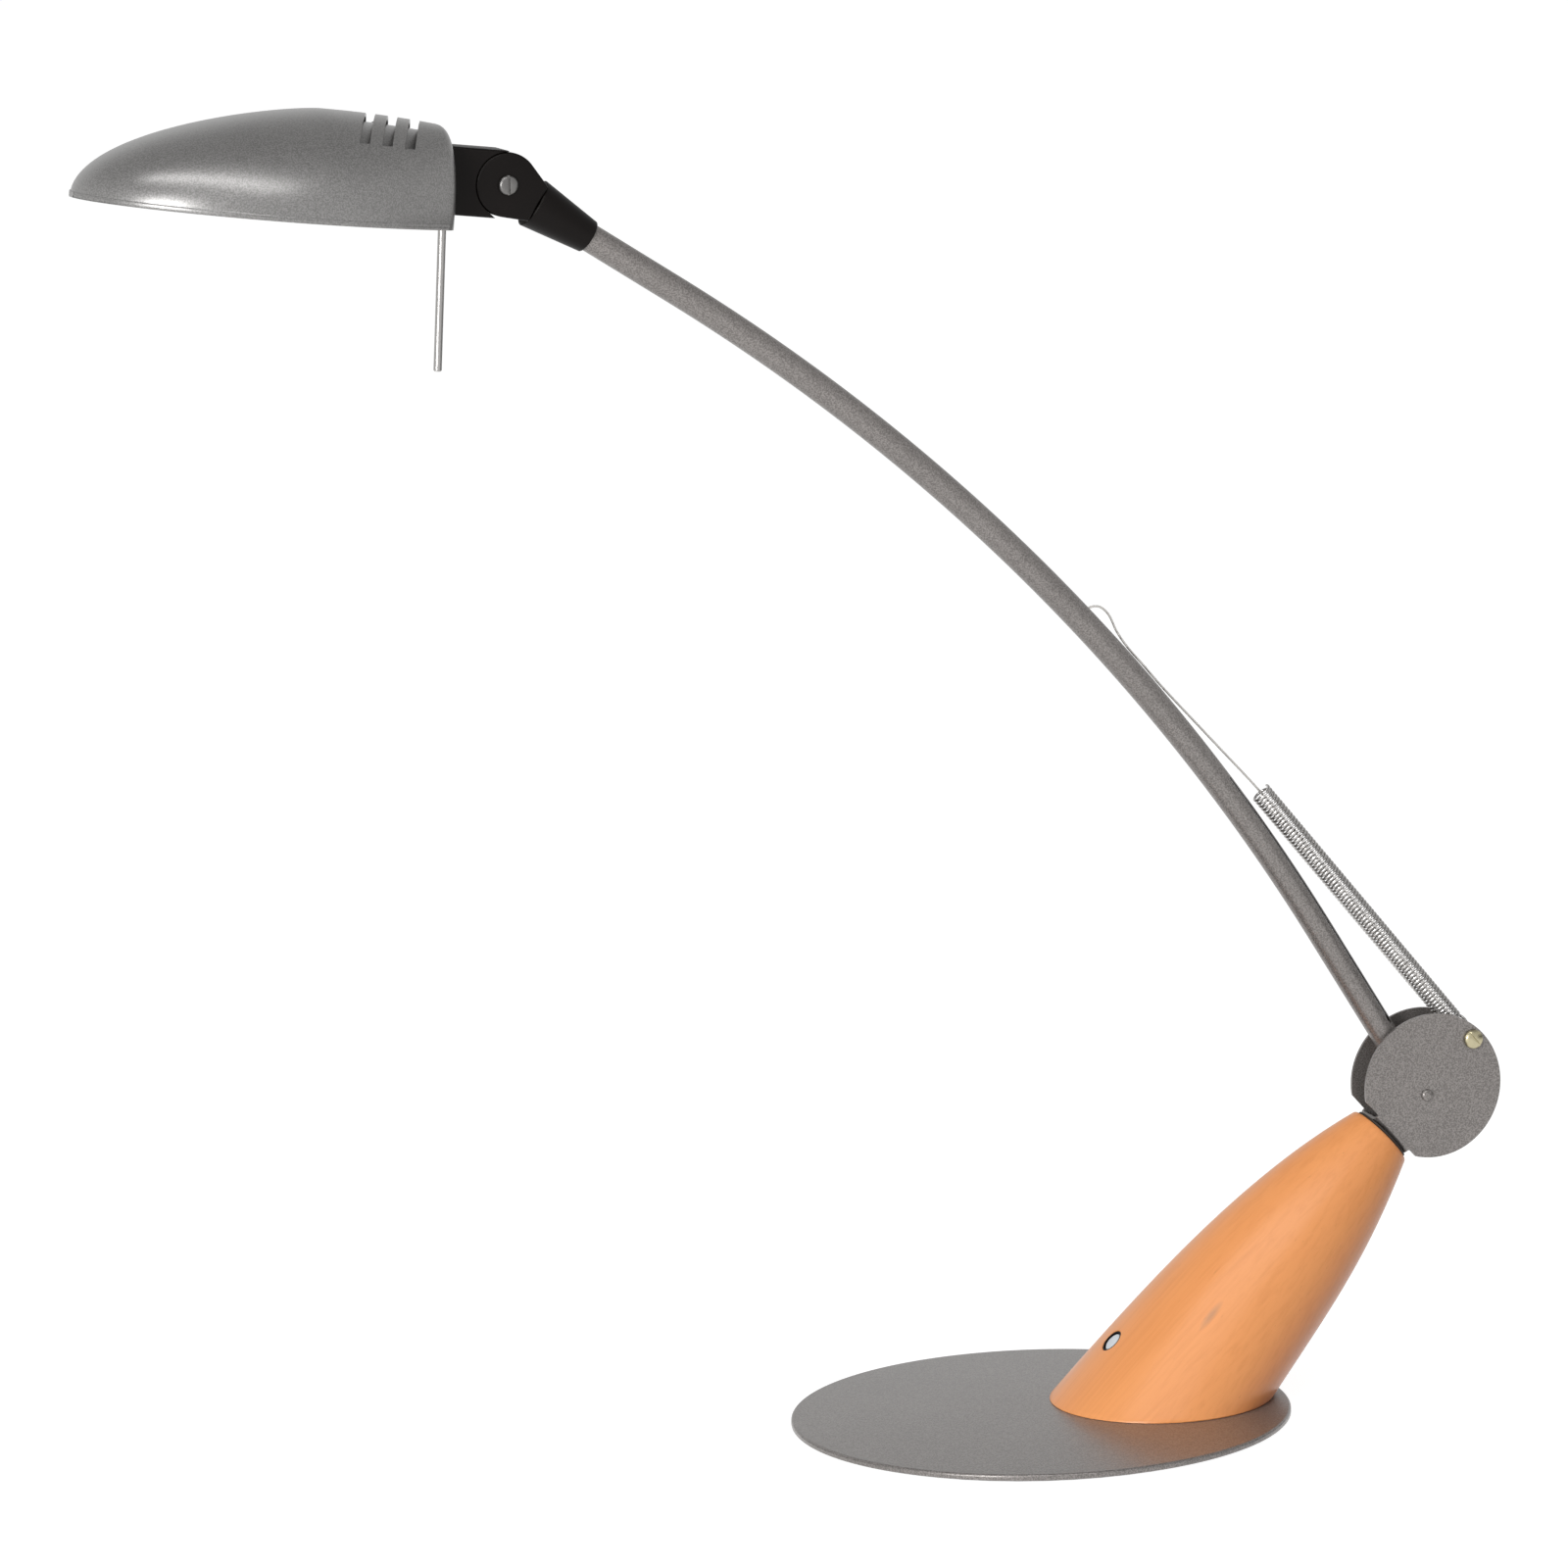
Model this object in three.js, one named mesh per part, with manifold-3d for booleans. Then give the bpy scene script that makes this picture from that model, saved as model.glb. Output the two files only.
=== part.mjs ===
// Desk lamp: a leaning wooden foot on a round steel base, a bowed tube arm balanced by a coil
// spring, and a small shade on a black joint. Millimetres, +Z up. The origin is the middle of
// the base's underside, and the arm swings in the plane y = 0, with the shade towards -X.

import * as THREE from "three";
import { mergeVertices } from "three/addons/utils/BufferGeometryUtils.js";
import Module from "manifold-3d";

const wasm = await Module();
wasm.setup();

// Gaps shared by the whole lamp
const clearance = 0.3;
const overrun = 2;
const weldDistance = 0.0001;

// Base plate and the pad under it
const padThickness = 0.8;
const padInset = 3;
const plateRadius = 100;
const plateThickness = 2.5;
const plateEdgeRound = 1;

// Wooden foot: round below, round and tilted above, its middle line slightly bowed
const footX = 51.6;
const footRadius = 45.2;
const footLowerRadius = 33.8;
const footUpperRadius = 29.8;
const footTopRadius = 14;
const footTopX = 149.1;
const footTopZ = 100.4;
const footTopTiltDeg = 49.5;
const footTiltLeadShare = -0.107;
const footBow = 1.25;
const wireBoreRadius = 6.2;

// Screws that hold the foot to the plate
const baseScrewCount = 3;
const baseScrewCircle = 30;
const baseScrewHeadRadius = 4;
const baseScrewHeadDepth = 2;
const baseScrewShankRadius = 1.9;
const baseScrewLength = 14;

// Push switch let into the foot
const switchStationShare = 0.192;
const switchTurnDeg = 180;
const buttonRadius = 4;
const buttonLength = 7;
const buttonSink = 0.5;
const buttonCrown = 0.4;
const buttonTravel = 1;
const buttonGuideDepth = 4.5;
const switchBushLength = 3.5;
const switchBodyRadius = 6;
const switchBodyLength = 10;
const switchAccessMargin = 1.5;

// Inlet for the lead, low on the far side of the foot
const inletStationShare = 0.07;
const inletTurnDeg = 62;
const inletFlangeRadius = 5.5;
const inletFlangeThickness = 1.6;
const inletNeckRadius = 3.8;
const inletNeckLength = 7;
const inletBoreRadius = 2.6;
const inletSink = 1.2;

// Swivel between foot and yoke
const swivelTubeRadius = 4;
const swivelTubeBore = 2.6;
const swivelTubeDepth = 24;
const swivelTubeHead = 1;
const washerRadius = 12.5;
const washerThickness = 0.8;
const springWasherRadius = 5.9;
const springWasherThickness = 0.8;
const swivelNutFlats = 10;
const swivelNutThickness = 3;

// Yoke: one bent sheet, a narrow web with two round cheeks
const sheetThickness = 1.3;
const cheekGap = 13;
const cheekRadius = 29.5;
const cheekMiddleX = -2;
const cheekMiddleZ = 28.5;
const webHalfLength = 10;
const bendRadius = 2.4;
const pivotX = -1;
const pivotZ = 24.1;
const anchorX = -3.9;
const anchorZ = 53.4;

// Pivot rivet, spring screw and its roller
const rivetRadius = 1.7;
const rivetHeadRadius = 2.5;
const rivetHeadHeight = 1.3;
const anchorShankRadius = 2;
const anchorHeadRadius = 3.9;
const anchorHeadHeight = 2.3;
const anchorSlotWidth = 0.9;
const anchorNutFlats = 7;
const anchorNutThickness = 3;
const rollerRadius = 3.1;

// Arm: straight, then bowed, then straight again into the sleeve
const armRadius = 5.5;
const armWall = 1.2;
const armLeanDeg = 59.2;
const armLowerStraight = 82;
const armBowRadius = 864;
const armBowDeg = 25.4;
const armUpperStraight = 40.8;
const armInsertion = 14;
const armStart = 14;
const slotStart = 33;
const slotEnd = 158;
const slotWidth = 1.4;
const slotOffset = 3.1;
const slotSkewDeg = 13;

// Lug in the arm's lower end, with its friction washers
const lugRadius = 7;
const lugHalfWidth = 5.2;
const lugSpigotLength = 18;
const frictionWasherThickness = 0.7;

// Tension cable on the arm's back
const cableRadius = 0.5;
const cableHoleDistance = 249.5;
const cableLoopHeight = 4;
const cableLoopLength = 23;
const cableTouchLength = 21;
const cableHoleRadius = 0.9;
const cableTail = 22;
const beadRadius = 1.5;
const beadLength = 4;
const ferruleRadius = 1.3;
const ferruleLength = 7;

// Balance spring
const springLeanDeg = 51.2;
const springTop = 140;
const springStart = 8.6;
const springCoilRadius = 3.9;
const springWireRadius = 0.55;
const springCurls = 76;
const springSteps = 8;
const springSides = 5;

// Black joint: sleeve on the arm, neck that turns in it, and the knuckle
const sleeveLength = 26.1;
const sleeveWideRadius = 9.8;
const sleeveMouthRadius = 6.5;
const knuckleReach = 40.8;
const knuckleRadius = 12.4;
const neckHalfWidth = 9.3;
const neckEndHalfHeight = 7.6;
const forkHalfGap = 5.3;
const tongueHalfWidth = 4;
const tongueRadius = 10.3;
const tongueNeckHalfHeight = 5.5;
const noseDownDeg = 30;
const neckSpigotRadius = 5;
const neckThreadRadius = 4;
const neckBulkhead = 6;
const neckNutRadius = 6.6;
const neckNutThickness = 3;
const knuckleShankRadius = 2;
const knuckleHeadRadius = 3.8;
const knuckleHeadHeight = 1.6;
const knuckleSlotWidth = 0.8;
const knuckleNutFlats = 8;
const knuckleNutThickness = 3.2;
const knuckleWasherRadius = 8;
const knuckleWasherThickness = 0.7;

// Shade, in a frame that tilts about the knuckle
const shadeTiltDeg = 7.8;
const shadeRearX = -24.4;
const shadeRimZ = -17.5;
const shadeLength = 142.1;
const shadeHeight = 40.4;
const shadeHalfWidth = 48.3;
const shadeRearHalfWidth = 27.9;
const shadeWall = 1.4;
const shadeRearRound = 3.5;
const shadeCrestX = 48.8;
const shadeWidestX = 66.9;
const rimSag = 0.2;
const ventCount = 3;
const ventWidth = 3.5;
const ventPitch = 8.8;
const ventFirstX = 15;
const ventDepth = 10;
const frontPowerShare = 1.34;
const sectionPowerShare = 2.2;
const rearFallShare = 0.067;

// Inside the shade
const reflectorHeight = 30;
const reflectorWall = 0.8;
const reflectorRearX = 44.4;
const reflectorLift = 4;
const holderPlateThickness = 1.2;
const holderPlateHalfWidth = 12;
const holderPlateTop = 12;
const holderPlateReach = 22.4;
const holderHalfWidth = 8;
const holderLength = 15;
const holderHeight = 12;
const bulbRadius = 4.6;
const bulbLength = 24;
const bracketHalfHeight = 13;
const bracketScrewY = 6;
const bracketScrewZ = 4;
const bracketScrewShankRadius = 1.4;
const bracketScrewHeadRadius = 2.6;
const bracketScrewHeadHeight = 1.6;
const bracketScrewGrip = 4.5;

// Handle rod under the shade
const rodRadius = 1.6;
const rodX = -21.7;
const rodDrop = 56;
const rodLeanDeg = 3.5;
const rodThreadRadius = 1.1;
const rodThreadLength = 4;
const rodEndChamfer = 0.4;

// Facet counts
const roundSides = 28;
const tubeSides = 16;
const smallSides = 12;
const armSteps = 15;
const cableSides = 6;
const cableSteps = 30;
const footRings = 11;
const shadeStations = 10;
const shadeSectionSteps = 18;

const degrees = Math.PI / 180;
const halfTurn = Math.PI;
const fullTurn = 2 * Math.PI;

// Finishes
function finish(color, roughness, metalness) {
  return new THREE.MeshStandardMaterial({ color, roughness, metalness });
}
const silverPaint = finish(0x8e8d8c, 0.45, 0.6);
const beech = finish(0xd98f52, 0.5, 0);
const blackPlastic = finish(0x1d1b1b, 0.6, 0);
const steel = finish(0xb9b8b4, 0.25, 1);
const zinc = finish(0xbdb48c, 0.35, 1);
const rubber = finish(0x26262a, 0.9, 0);
const palePlastic = finish(0xdfe5e8, 0.35, 0);
const fibre = finish(0x3a3632, 0.8, 0);
const ceramic = finish(0xe9e4d8, 0.6, 0);
const brightAluminium = finish(0xd6d6d4, 0.2, 1);
const glass = finish(0xeef3f5, 0.05, 0);

// Booleans on closed meshes
function toSolid(geometry) {
  const bare = geometry.clone();
  bare.deleteAttribute("normal");
  bare.deleteAttribute("uv");
  const merged = mergeVertices(bare, weldDistance);
  return new wasm.Manifold(new wasm.Mesh({
    numProp: 3,
    vertProperties: Float32Array.from(merged.attributes.position.array),
    triVerts: Uint32Array.from(merged.index.array),
  }));
}
function toGeometry(solid) {
  const mesh = solid.getMesh();
  const geometry = new THREE.BufferGeometry();
  geometry.setAttribute("position", new THREE.BufferAttribute(mesh.vertProperties, 3));
  geometry.setIndex(new THREE.BufferAttribute(mesh.triVerts, 1));
  return geometry;
}
function joined(...pieces) {
  return toGeometry(pieces.map(toSolid).reduce((whole, piece) => whole.add(piece)));
}
function cut(body, ...tools) {
  return toGeometry(tools.map(toSolid).reduce((left, tool) => left.subtract(tool), toSolid(body)));
}
function shared(body, ...others) {
  return toGeometry(others.map(toSolid).reduce((left, other) => left.intersect(other), toSolid(body)));
}

// Basic forms
function moved(geometry, x, y, z) {
  return geometry.clone().translate(x, y, z);
}
function box(x0, x1, y0, y1, z0, z1) {
  return new THREE.BoxGeometry(x1 - x0, y1 - y0, z1 - z0).translate((x0 + x1) / 2, (y0 + y1) / 2, (z0 + z1) / 2);
}
function turnedProfile(points, sides) {
  const outline = points.map(([radius, height]) => new THREE.Vector2(radius, height));
  return new THREE.LatheGeometry(outline, sides).rotateX(halfTurn / 2);
}
function rodZ(radius, z0, z1, sides) {
  return turnedProfile([[0, z0], [radius, z0], [radius, z1], [0, z1]], sides);
}
function ringZ(outer, inner, z0, z1, sides) {
  return turnedProfile([[inner, z0], [outer, z0], [outer, z1], [inner, z1], [inner, z0]], sides);
}
function alongY(geometry) {
  return geometry.rotateX(halfTurn / 2);
}
function alongX(geometry) {
  return geometry.rotateY(halfTurn / 2);
}
function rodY(radius, y0, y1, sides) {
  return alongY(rodZ(radius, -y1, -y0, sides));
}
function ringY(outer, inner, y0, y1, sides) {
  return alongY(ringZ(outer, inner, -y1, -y0, sides));
}
function domeProfile(radius, base, height, steps) {
  const points = [];
  for (let i = 0; i <= steps; i += 1) {
    const turn = (i / steps) * halfTurn / 2;
    points.push([radius * Math.cos(turn), base + height * Math.sin(turn)]);
  }
  points[steps][0] = 0;
  return points;
}
function hexNut(flats, bore, z0, z1) {
  const corner = flats / 2 / Math.cos(halfTurn / 6);
  const body = new THREE.CylinderGeometry(corner, corner, z1 - z0, 6).rotateX(halfTurn / 2);
  return cut(moved(body, 0, 0, (z0 + z1) / 2), rodZ(bore, z0 - overrun, z1 + overrun, smallSides));
}
function outward(geometry) {
  const corners = geometry.attributes.position.array;
  const index = geometry.index.array;
  let volume = 0;
  const a = new THREE.Vector3();
  const b = new THREE.Vector3();
  const c = new THREE.Vector3();
  for (let i = 0; i < index.length; i += 3) {
    a.fromArray(corners, index[i] * 3);
    b.fromArray(corners, index[i + 1] * 3);
    c.fromArray(corners, index[i + 2] * 3);
    volume += a.dot(b.cross(c));
  }
  if (volume < 0) {
    for (let i = 0; i < index.length; i += 3) {
      [index[i], index[i + 1]] = [index[i + 1], index[i]];
    }
  }
  return geometry;
}
// Skin over a row of closed rings, each end closed by a fan round its middle
function loft(rings) {
  const count = rings[0].length;
  const positions = rings.flat().flatMap((point) => [point.x, point.y, point.z]);
  const index = [];
  for (let r = 0; r + 1 < rings.length; r += 1) {
    for (let i = 0; i < count; i += 1) {
      const next = (i + 1) % count;
      const a = r * count + i;
      const b = r * count + next;
      index.push(a, b, b + count, a, b + count, a + count);
    }
  }
  for (const [ring, flip] of [[0, true], [rings.length - 1, false]]) {
    const middle = new THREE.Vector3();
    rings[ring].forEach((point) => middle.add(point));
    middle.divideScalar(count);
    const hub = positions.length / 3;
    positions.push(middle.x, middle.y, middle.z);
    for (let i = 0; i < count; i += 1) {
      const a = ring * count + i;
      const b = ring * count + (i + 1) % count;
      index.push(...(flip ? [hub, b, a] : [hub, a, b]));
    }
  }
  const geometry = new THREE.BufferGeometry();
  geometry.setAttribute("position", new THREE.BufferAttribute(new Float32Array(positions), 3));
  geometry.setIndex(index);
  return outward(geometry);
}
function circleShape(radius, sides) {
  const shape = new THREE.Shape();
  for (let i = 0; i < sides; i += 1) {
    const turn = (i / sides) * fullTurn;
    const point = [radius * Math.cos(turn), radius * Math.sin(turn)];
    if (i === 0) shape.moveTo(...point);
    else shape.lineTo(...point);
  }
  shape.closePath();
  return shape;
}
function sweep(shape, path, steps) {
  return new THREE.ExtrudeGeometry(shape, { steps, extrudePath: path, bevelEnabled: false });
}
function part(name, geometry, material) {
  const mesh = new THREE.Mesh(geometry, material);
  mesh.name = name;
  return mesh;
}
function numbered(name, geometries, material) {
  return geometries.map((geometry, i) => part(`${name}_${i + 1}`, geometry, material));
}

// Places that several pieces share
const plateTop = padThickness + plateThickness;
const footTilt = footTopTiltDeg * degrees;
const webBottom = 2 * clearance + washerThickness;
const webTop = webBottom + sheetThickness;
const cheekInside = cheekGap / 2;
const cheekOutside = cheekInside + sheetThickness;
const armLean = armLeanDeg * degrees;
const armBow = armBowDeg * degrees;
const neckLean = armLean - armBow;
const shadeTilt = shadeTiltDeg * degrees;
function fromYoke(x, z) {
  return new THREE.Vector3(
    footTopX + x * Math.cos(footTilt) + z * Math.sin(footTilt),
    0,
    footTopZ - x * Math.sin(footTilt) + z * Math.cos(footTilt),
  );
}
const pivot = fromYoke(pivotX, pivotZ);
const anchor = fromYoke(anchorX, anchorZ);

// The arm's middle line, measured along it from the pivot; side is a distance out of its back
function armPoint(distance, side = 0) {
  const bowLength = armBowRadius * armBow;
  const bent = Math.min(Math.max(distance - armLowerStraight, 0), bowLength);
  const lean = armLean - bent / armBowRadius;
  const straight = Math.min(distance, armLowerStraight);
  const rest = Math.max(distance - armLowerStraight - bowLength, 0);
  const x = -Math.cos(armLean) * straight - armBowRadius * (Math.sin(armLean) - Math.sin(lean)) - Math.cos(lean) * rest;
  const z = Math.sin(armLean) * straight + armBowRadius * (Math.cos(lean) - Math.cos(armLean)) + Math.sin(lean) * rest;
  return new THREE.Vector3(x + Math.sin(lean) * side, 0, z + Math.cos(lean) * side);
}
const armMouth = armLowerStraight + armBowRadius * armBow + armUpperStraight;
const armEnd = armMouth + armInsertion;
class ArmLine extends THREE.Curve {
  constructor(from, to, side = 0) {
    super();
    this.from = from;
    this.to = to;
    this.side = side;
  }

  getPoint(t, target = new THREE.Vector3()) {
    return target.copy(armPoint(this.from + (this.to - this.from) * t, this.side));
  }
}
const knuckle = armPoint(armMouth + knuckleReach);

// Wooden foot
function footStation(share) {
  const start = new THREE.Vector3(footX, 0, plateTop);
  const end = new THREE.Vector3(footTopX, 0, footTopZ);
  const chord = end.clone().sub(start);
  const lift = new THREE.Vector3(-chord.z, 0, chord.x).normalize().multiplyScalar(4 * footBow * share * (1 - share));
  const radii = [footRadius, footLowerRadius, footUpperRadius, footTopRadius];
  const weights = [(1 - share) ** 3, 3 * (1 - share) ** 2 * share, 3 * (1 - share) * share ** 2, share ** 3];
  return {
    middle: start.addScaledVector(chord, share).add(lift),
    radius: radii.reduce((sum, radius, i) => sum + radius * weights[i], 0),
    tilt: footTilt * share * (1 + footTiltLeadShare * (1 - share)),
  };
}
function footSurface(share, turn) {
  const { middle, radius, tilt } = footStation(share);
  const out = new THREE.Vector3(Math.cos(turn) * Math.cos(tilt), Math.sin(turn), -Math.cos(turn) * Math.sin(tilt));
  return middle.addScaledVector(out, radius);
}
// Frame on the foot's skin whose +Z points straight out of the wood
function footSeat(share, turn) {
  const step = 1 / roundSides;
  const at = footSurface(share, turn);
  const up = footSurface(share + step, turn).sub(footSurface(share - step, turn));
  const round = footSurface(share, turn + step).sub(footSurface(share, turn - step));
  const normal = round.cross(up).normalize();
  const turnTo = new THREE.Quaternion().setFromUnitVectors(new THREE.Vector3(0, 0, 1), normal);
  return new THREE.Matrix4().compose(at, turnTo, new THREE.Vector3(1, 1, 1));
}
const switchSeat = footSeat(switchStationShare, switchTurnDeg * degrees);
const buttonReach = buttonSink + buttonLength + buttonTravel + clearance;
const switchBodyTop = Math.max(buttonReach, buttonGuideDepth + switchBushLength + 2 * clearance);
const inletSeat = footSeat(inletStationShare, inletTurnDeg * degrees);
function seated(geometry, seat) {
  return geometry.clone().applyMatrix4(seat);
}
const swivelFrame = new THREE.Matrix4().makeRotationY(footTilt).setPosition(footTopX, 0, footTopZ);

function baseScrewPlaces() {
  const places = [];
  for (let i = 0; i < baseScrewCount; i += 1) {
    const turn = (i / baseScrewCount) * fullTurn;
    places.push([footX + baseScrewCircle * Math.cos(turn), baseScrewCircle * Math.sin(turn)]);
  }
  return places;
}
function baseScrew(grow) {
  const bottom = padThickness + clearance - grow;
  const shank = baseScrewShankRadius + grow;
  return turnedProfile([
    [0, bottom],
    [baseScrewHeadRadius + grow, bottom],
    [shank, padThickness + clearance + baseScrewHeadDepth],
    [shank, bottom + baseScrewLength],
    [0, bottom + baseScrewLength + shank + grow],
  ], smallSides);
}
function woodenFoot() {
  const rings = [];
  for (let i = 0; i <= footRings; i += 1) {
    const ring = [];
    for (let k = 0; k < roundSides; k += 1) {
      ring.push(footSurface(i / footRings, (k / roundSides) * fullTurn));
    }
    rings.push(ring);
  }
  const line = new THREE.LineCurve3(
    new THREE.Vector3(footX - overrun, 0, plateTop - overrun),
    new THREE.Vector3(footTopX + overrun, 0, footTopZ + overrun),
  );
  const wireBore = sweep(circleShape(wireBoreRadius, smallSides), line, 1);
  const pilots = baseScrewPlaces().map(([x, y]) => moved(baseScrew(clearance), x, y, 0));
  const pocketDepth = switchBodyTop + switchBodyLength + clearance;
  const pocket = seated(rodZ(switchBodyRadius + clearance, -pocketDepth, -buttonGuideDepth, tubeSides), switchSeat);
  const guide = seated(rodZ(buttonRadius + clearance, -pocketDepth, overrun, tubeSides), switchSeat);
  const pocketEnd = new THREE.Vector3(0, 0, -pocketDepth).applyMatrix4(switchSeat);
  const accessRadius = switchBodyRadius + switchAccessMargin;
  const access = moved(rodZ(accessRadius, plateTop - overrun, pocketEnd.z, tubeSides), pocketEnd.x, pocketEnd.y, 0);
  const flangeSeat = rodZ(inletFlangeRadius + clearance, -inletSink, overrun + inletSink, smallSides);
  const channel = rodZ(inletNeckRadius + clearance, -footRadius, 0, smallSides);
  const inlet = [seated(flangeSeat, inletSeat), seated(channel, inletSeat)];
  return cut(loft(rings), wireBore, ...pilots, pocket, guide, access, ...inlet);
}
function basePlate() {
  const corner = [];
  const steps = 4;
  for (let i = 0; i <= steps; i += 1) {
    const turn = (i / steps) * halfTurn / 2;
    const reach = plateRadius - plateEdgeRound * (1 - Math.cos(turn));
    corner.push([reach, plateTop - plateEdgeRound * (1 - Math.sin(turn))]);
  }
  const disc = turnedProfile([[0, padThickness], [plateRadius, padThickness], ...corner, [0, plateTop]], 2 * roundSides);
  const holes = baseScrewPlaces().map(([x, y]) => moved(baseScrew(clearance), x, y, 0));
  return cut(disc, ...holes);
}
function baseScrews() {
  return baseScrewPlaces().map(([x, y]) => moved(baseScrew(0), x, y, 0));
}

// Switch, in the frame of its seat
function switchBush() {
  const top = -buttonGuideDepth - clearance;
  return seated(ringZ(switchBodyRadius, buttonRadius + clearance, top - switchBushLength, top, tubeSides), switchSeat);
}
function button() {
  const crown = domeProfile(buttonRadius, -buttonSink - buttonCrown, buttonCrown, 3);
  const foot = -buttonSink - buttonLength;
  return seated(turnedProfile([[0, foot], [buttonRadius, foot], ...crown], roundSides), switchSeat);
}
function switchBody() {
  return seated(rodZ(switchBodyRadius, -switchBodyTop - switchBodyLength, -switchBodyTop, tubeSides), switchSeat);
}
function leadInlet() {
  const floor = clearance - inletSink;
  const body = turnedProfile([
    [inletBoreRadius, floor - inletNeckLength],
    [inletNeckRadius, floor - inletNeckLength],
    [inletNeckRadius, floor],
    [inletFlangeRadius, floor],
    [inletFlangeRadius, floor + inletFlangeThickness / 2],
    [inletNeckRadius, floor + inletFlangeThickness],
    [inletBoreRadius, floor + inletFlangeThickness],
    [inletBoreRadius, floor - inletNeckLength],
  ], smallSides);
  return seated(body, inletSeat);
}

// Yoke: a bent strip trimmed to two round cheeks and a short web
function yoke() {
  const high = cheekMiddleZ + cheekRadius + overrun;
  const long = cheekRadius + overrun;
  const strip = new THREE.Shape();
  strip.moveTo(-cheekOutside, high);
  strip.lineTo(-cheekOutside, webBottom + bendRadius);
  strip.absarc(-cheekOutside + bendRadius, webBottom + bendRadius, bendRadius, halfTurn, 1.5 * halfTurn, false);
  strip.absarc(cheekOutside - bendRadius, webBottom + bendRadius, bendRadius, 1.5 * halfTurn, fullTurn, false);
  strip.lineTo(cheekOutside, high);
  strip.lineTo(cheekInside, high);
  const insideBend = bendRadius - sheetThickness;
  strip.absarc(cheekInside - insideBend, webTop + insideBend, insideBend, fullTurn, 1.5 * halfTurn, true);
  strip.absarc(-cheekInside + insideBend, webTop + insideBend, insideBend, 1.5 * halfTurn, halfTurn, true);
  strip.lineTo(-cheekInside, high);
  strip.closePath();
  const channel = new THREE.ExtrudeGeometry(strip, { depth: 2 * long, bevelEnabled: false, curveSegments: 4 });
  channel.rotateX(halfTurn / 2).rotateZ(halfTurn / 2).translate(-long, 0, 0);
  const disc = moved(rodY(cheekRadius, -cheekOutside - overrun, cheekOutside + overrun, 2 * roundSides), cheekMiddleX, 0, cheekMiddleZ);
  const tab = box(-webHalfLength, webHalfLength, -cheekOutside - overrun, cheekOutside + overrun, webBottom - overrun, pivotZ);
  const blank = joined(
    shared(channel, disc, box(-long, long, -long, long, webTop + insideBend, high)),
    shared(channel, tab),
  );
  const through = cheekOutside + overrun;
  return cut(
    blank,
    rodZ(swivelTubeRadius + clearance, webBottom - overrun, webTop + overrun, smallSides),
    moved(rodY(rivetRadius + clearance, -through, through, smallSides), pivotX, 0, pivotZ),
    moved(rodY(anchorShankRadius + clearance, -through, through, smallSides), anchorX, 0, anchorZ),
  );
}
function swivelTube() {
  const top = webTop + 3 * clearance + springWasherThickness + swivelNutThickness + swivelTubeHead;
  return ringZ(swivelTubeRadius, swivelTubeBore, -swivelTubeDepth, top, smallSides);
}
function swivelNut() {
  const bottom = webTop + 2 * clearance + springWasherThickness;
  return hexNut(swivelNutFlats, swivelTubeRadius + clearance, bottom, bottom + swivelNutThickness);
}
function pivotRivet() {
  const head = cheekOutside + clearance;
  const dome = domeProfile(rivetHeadRadius, head, rivetHeadHeight, 4);
  const lower = dome.map(([radius, height]) => [radius, -height]).reverse();
  const outline = [...lower, [rivetRadius, -head], [rivetRadius, head], ...dome];
  return alongY(turnedProfile(outline, smallSides));
}
function anchorScrew() {
  const head = cheekOutside + clearance;
  const end = cheekOutside + 2 * clearance + anchorNutThickness + anchorShankRadius / 2;
  const dome = domeProfile(anchorHeadRadius, head + anchorHeadHeight / 3, 2 * anchorHeadHeight / 3, 5);
  const outline = [[0, -end], [anchorShankRadius, -end], [anchorShankRadius, head], [anchorHeadRadius, head], ...dome];
  const slotFloor = head + anchorHeadHeight / 2;
  const half = anchorSlotWidth / 2;
  const slot = box(-overrun * anchorHeadRadius, overrun * anchorHeadRadius, -half, half, slotFloor, slotFloor + 2 * anchorHeadHeight);
  return alongY(cut(turnedProfile(outline, roundSides / 2), slot));
}

// Arm and what rides on it, in a frame at the pivot
function armTube() {
  const wall = circleShape(armRadius, tubeSides);
  wall.holes.push(circleShape(armRadius - armWall, smallSides));
  const tube = sweep(wall, new ArmLine(armStart, armEnd), armSteps);
  const slotShape = new THREE.Shape();
  const reach = 2 * armRadius;
  const half = slotWidth / 2;
  for (const [i, [across, out]] of [[-reach, -half], [reach, -half], [reach, half], [-reach, half]].entries()) {
    const turn = slotSkewDeg * degrees;
    const point = [
      across * Math.cos(turn) - out * Math.sin(turn),
      slotOffset + across * Math.sin(turn) + out * Math.cos(turn),
    ];
    if (i === 0) slotShape.moveTo(...point);
    else slotShape.lineTo(...point);
  }
  slotShape.closePath();
  const slot = sweep(slotShape, new ArmLine(slotStart, slotEnd), smallSides / 2);
  const hole = sweep(circleShape(cableHoleRadius, smallSides / 2), cableHoleLine(), 1);
  return cut(tube, slot, hole);
}
const cableSide = armRadius + clearance + cableRadius;
function cableHoleLine() {
  return new THREE.LineCurve3(armPoint(cableHoleDistance, 0), armPoint(cableHoleDistance, armRadius + overrun));
}
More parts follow.
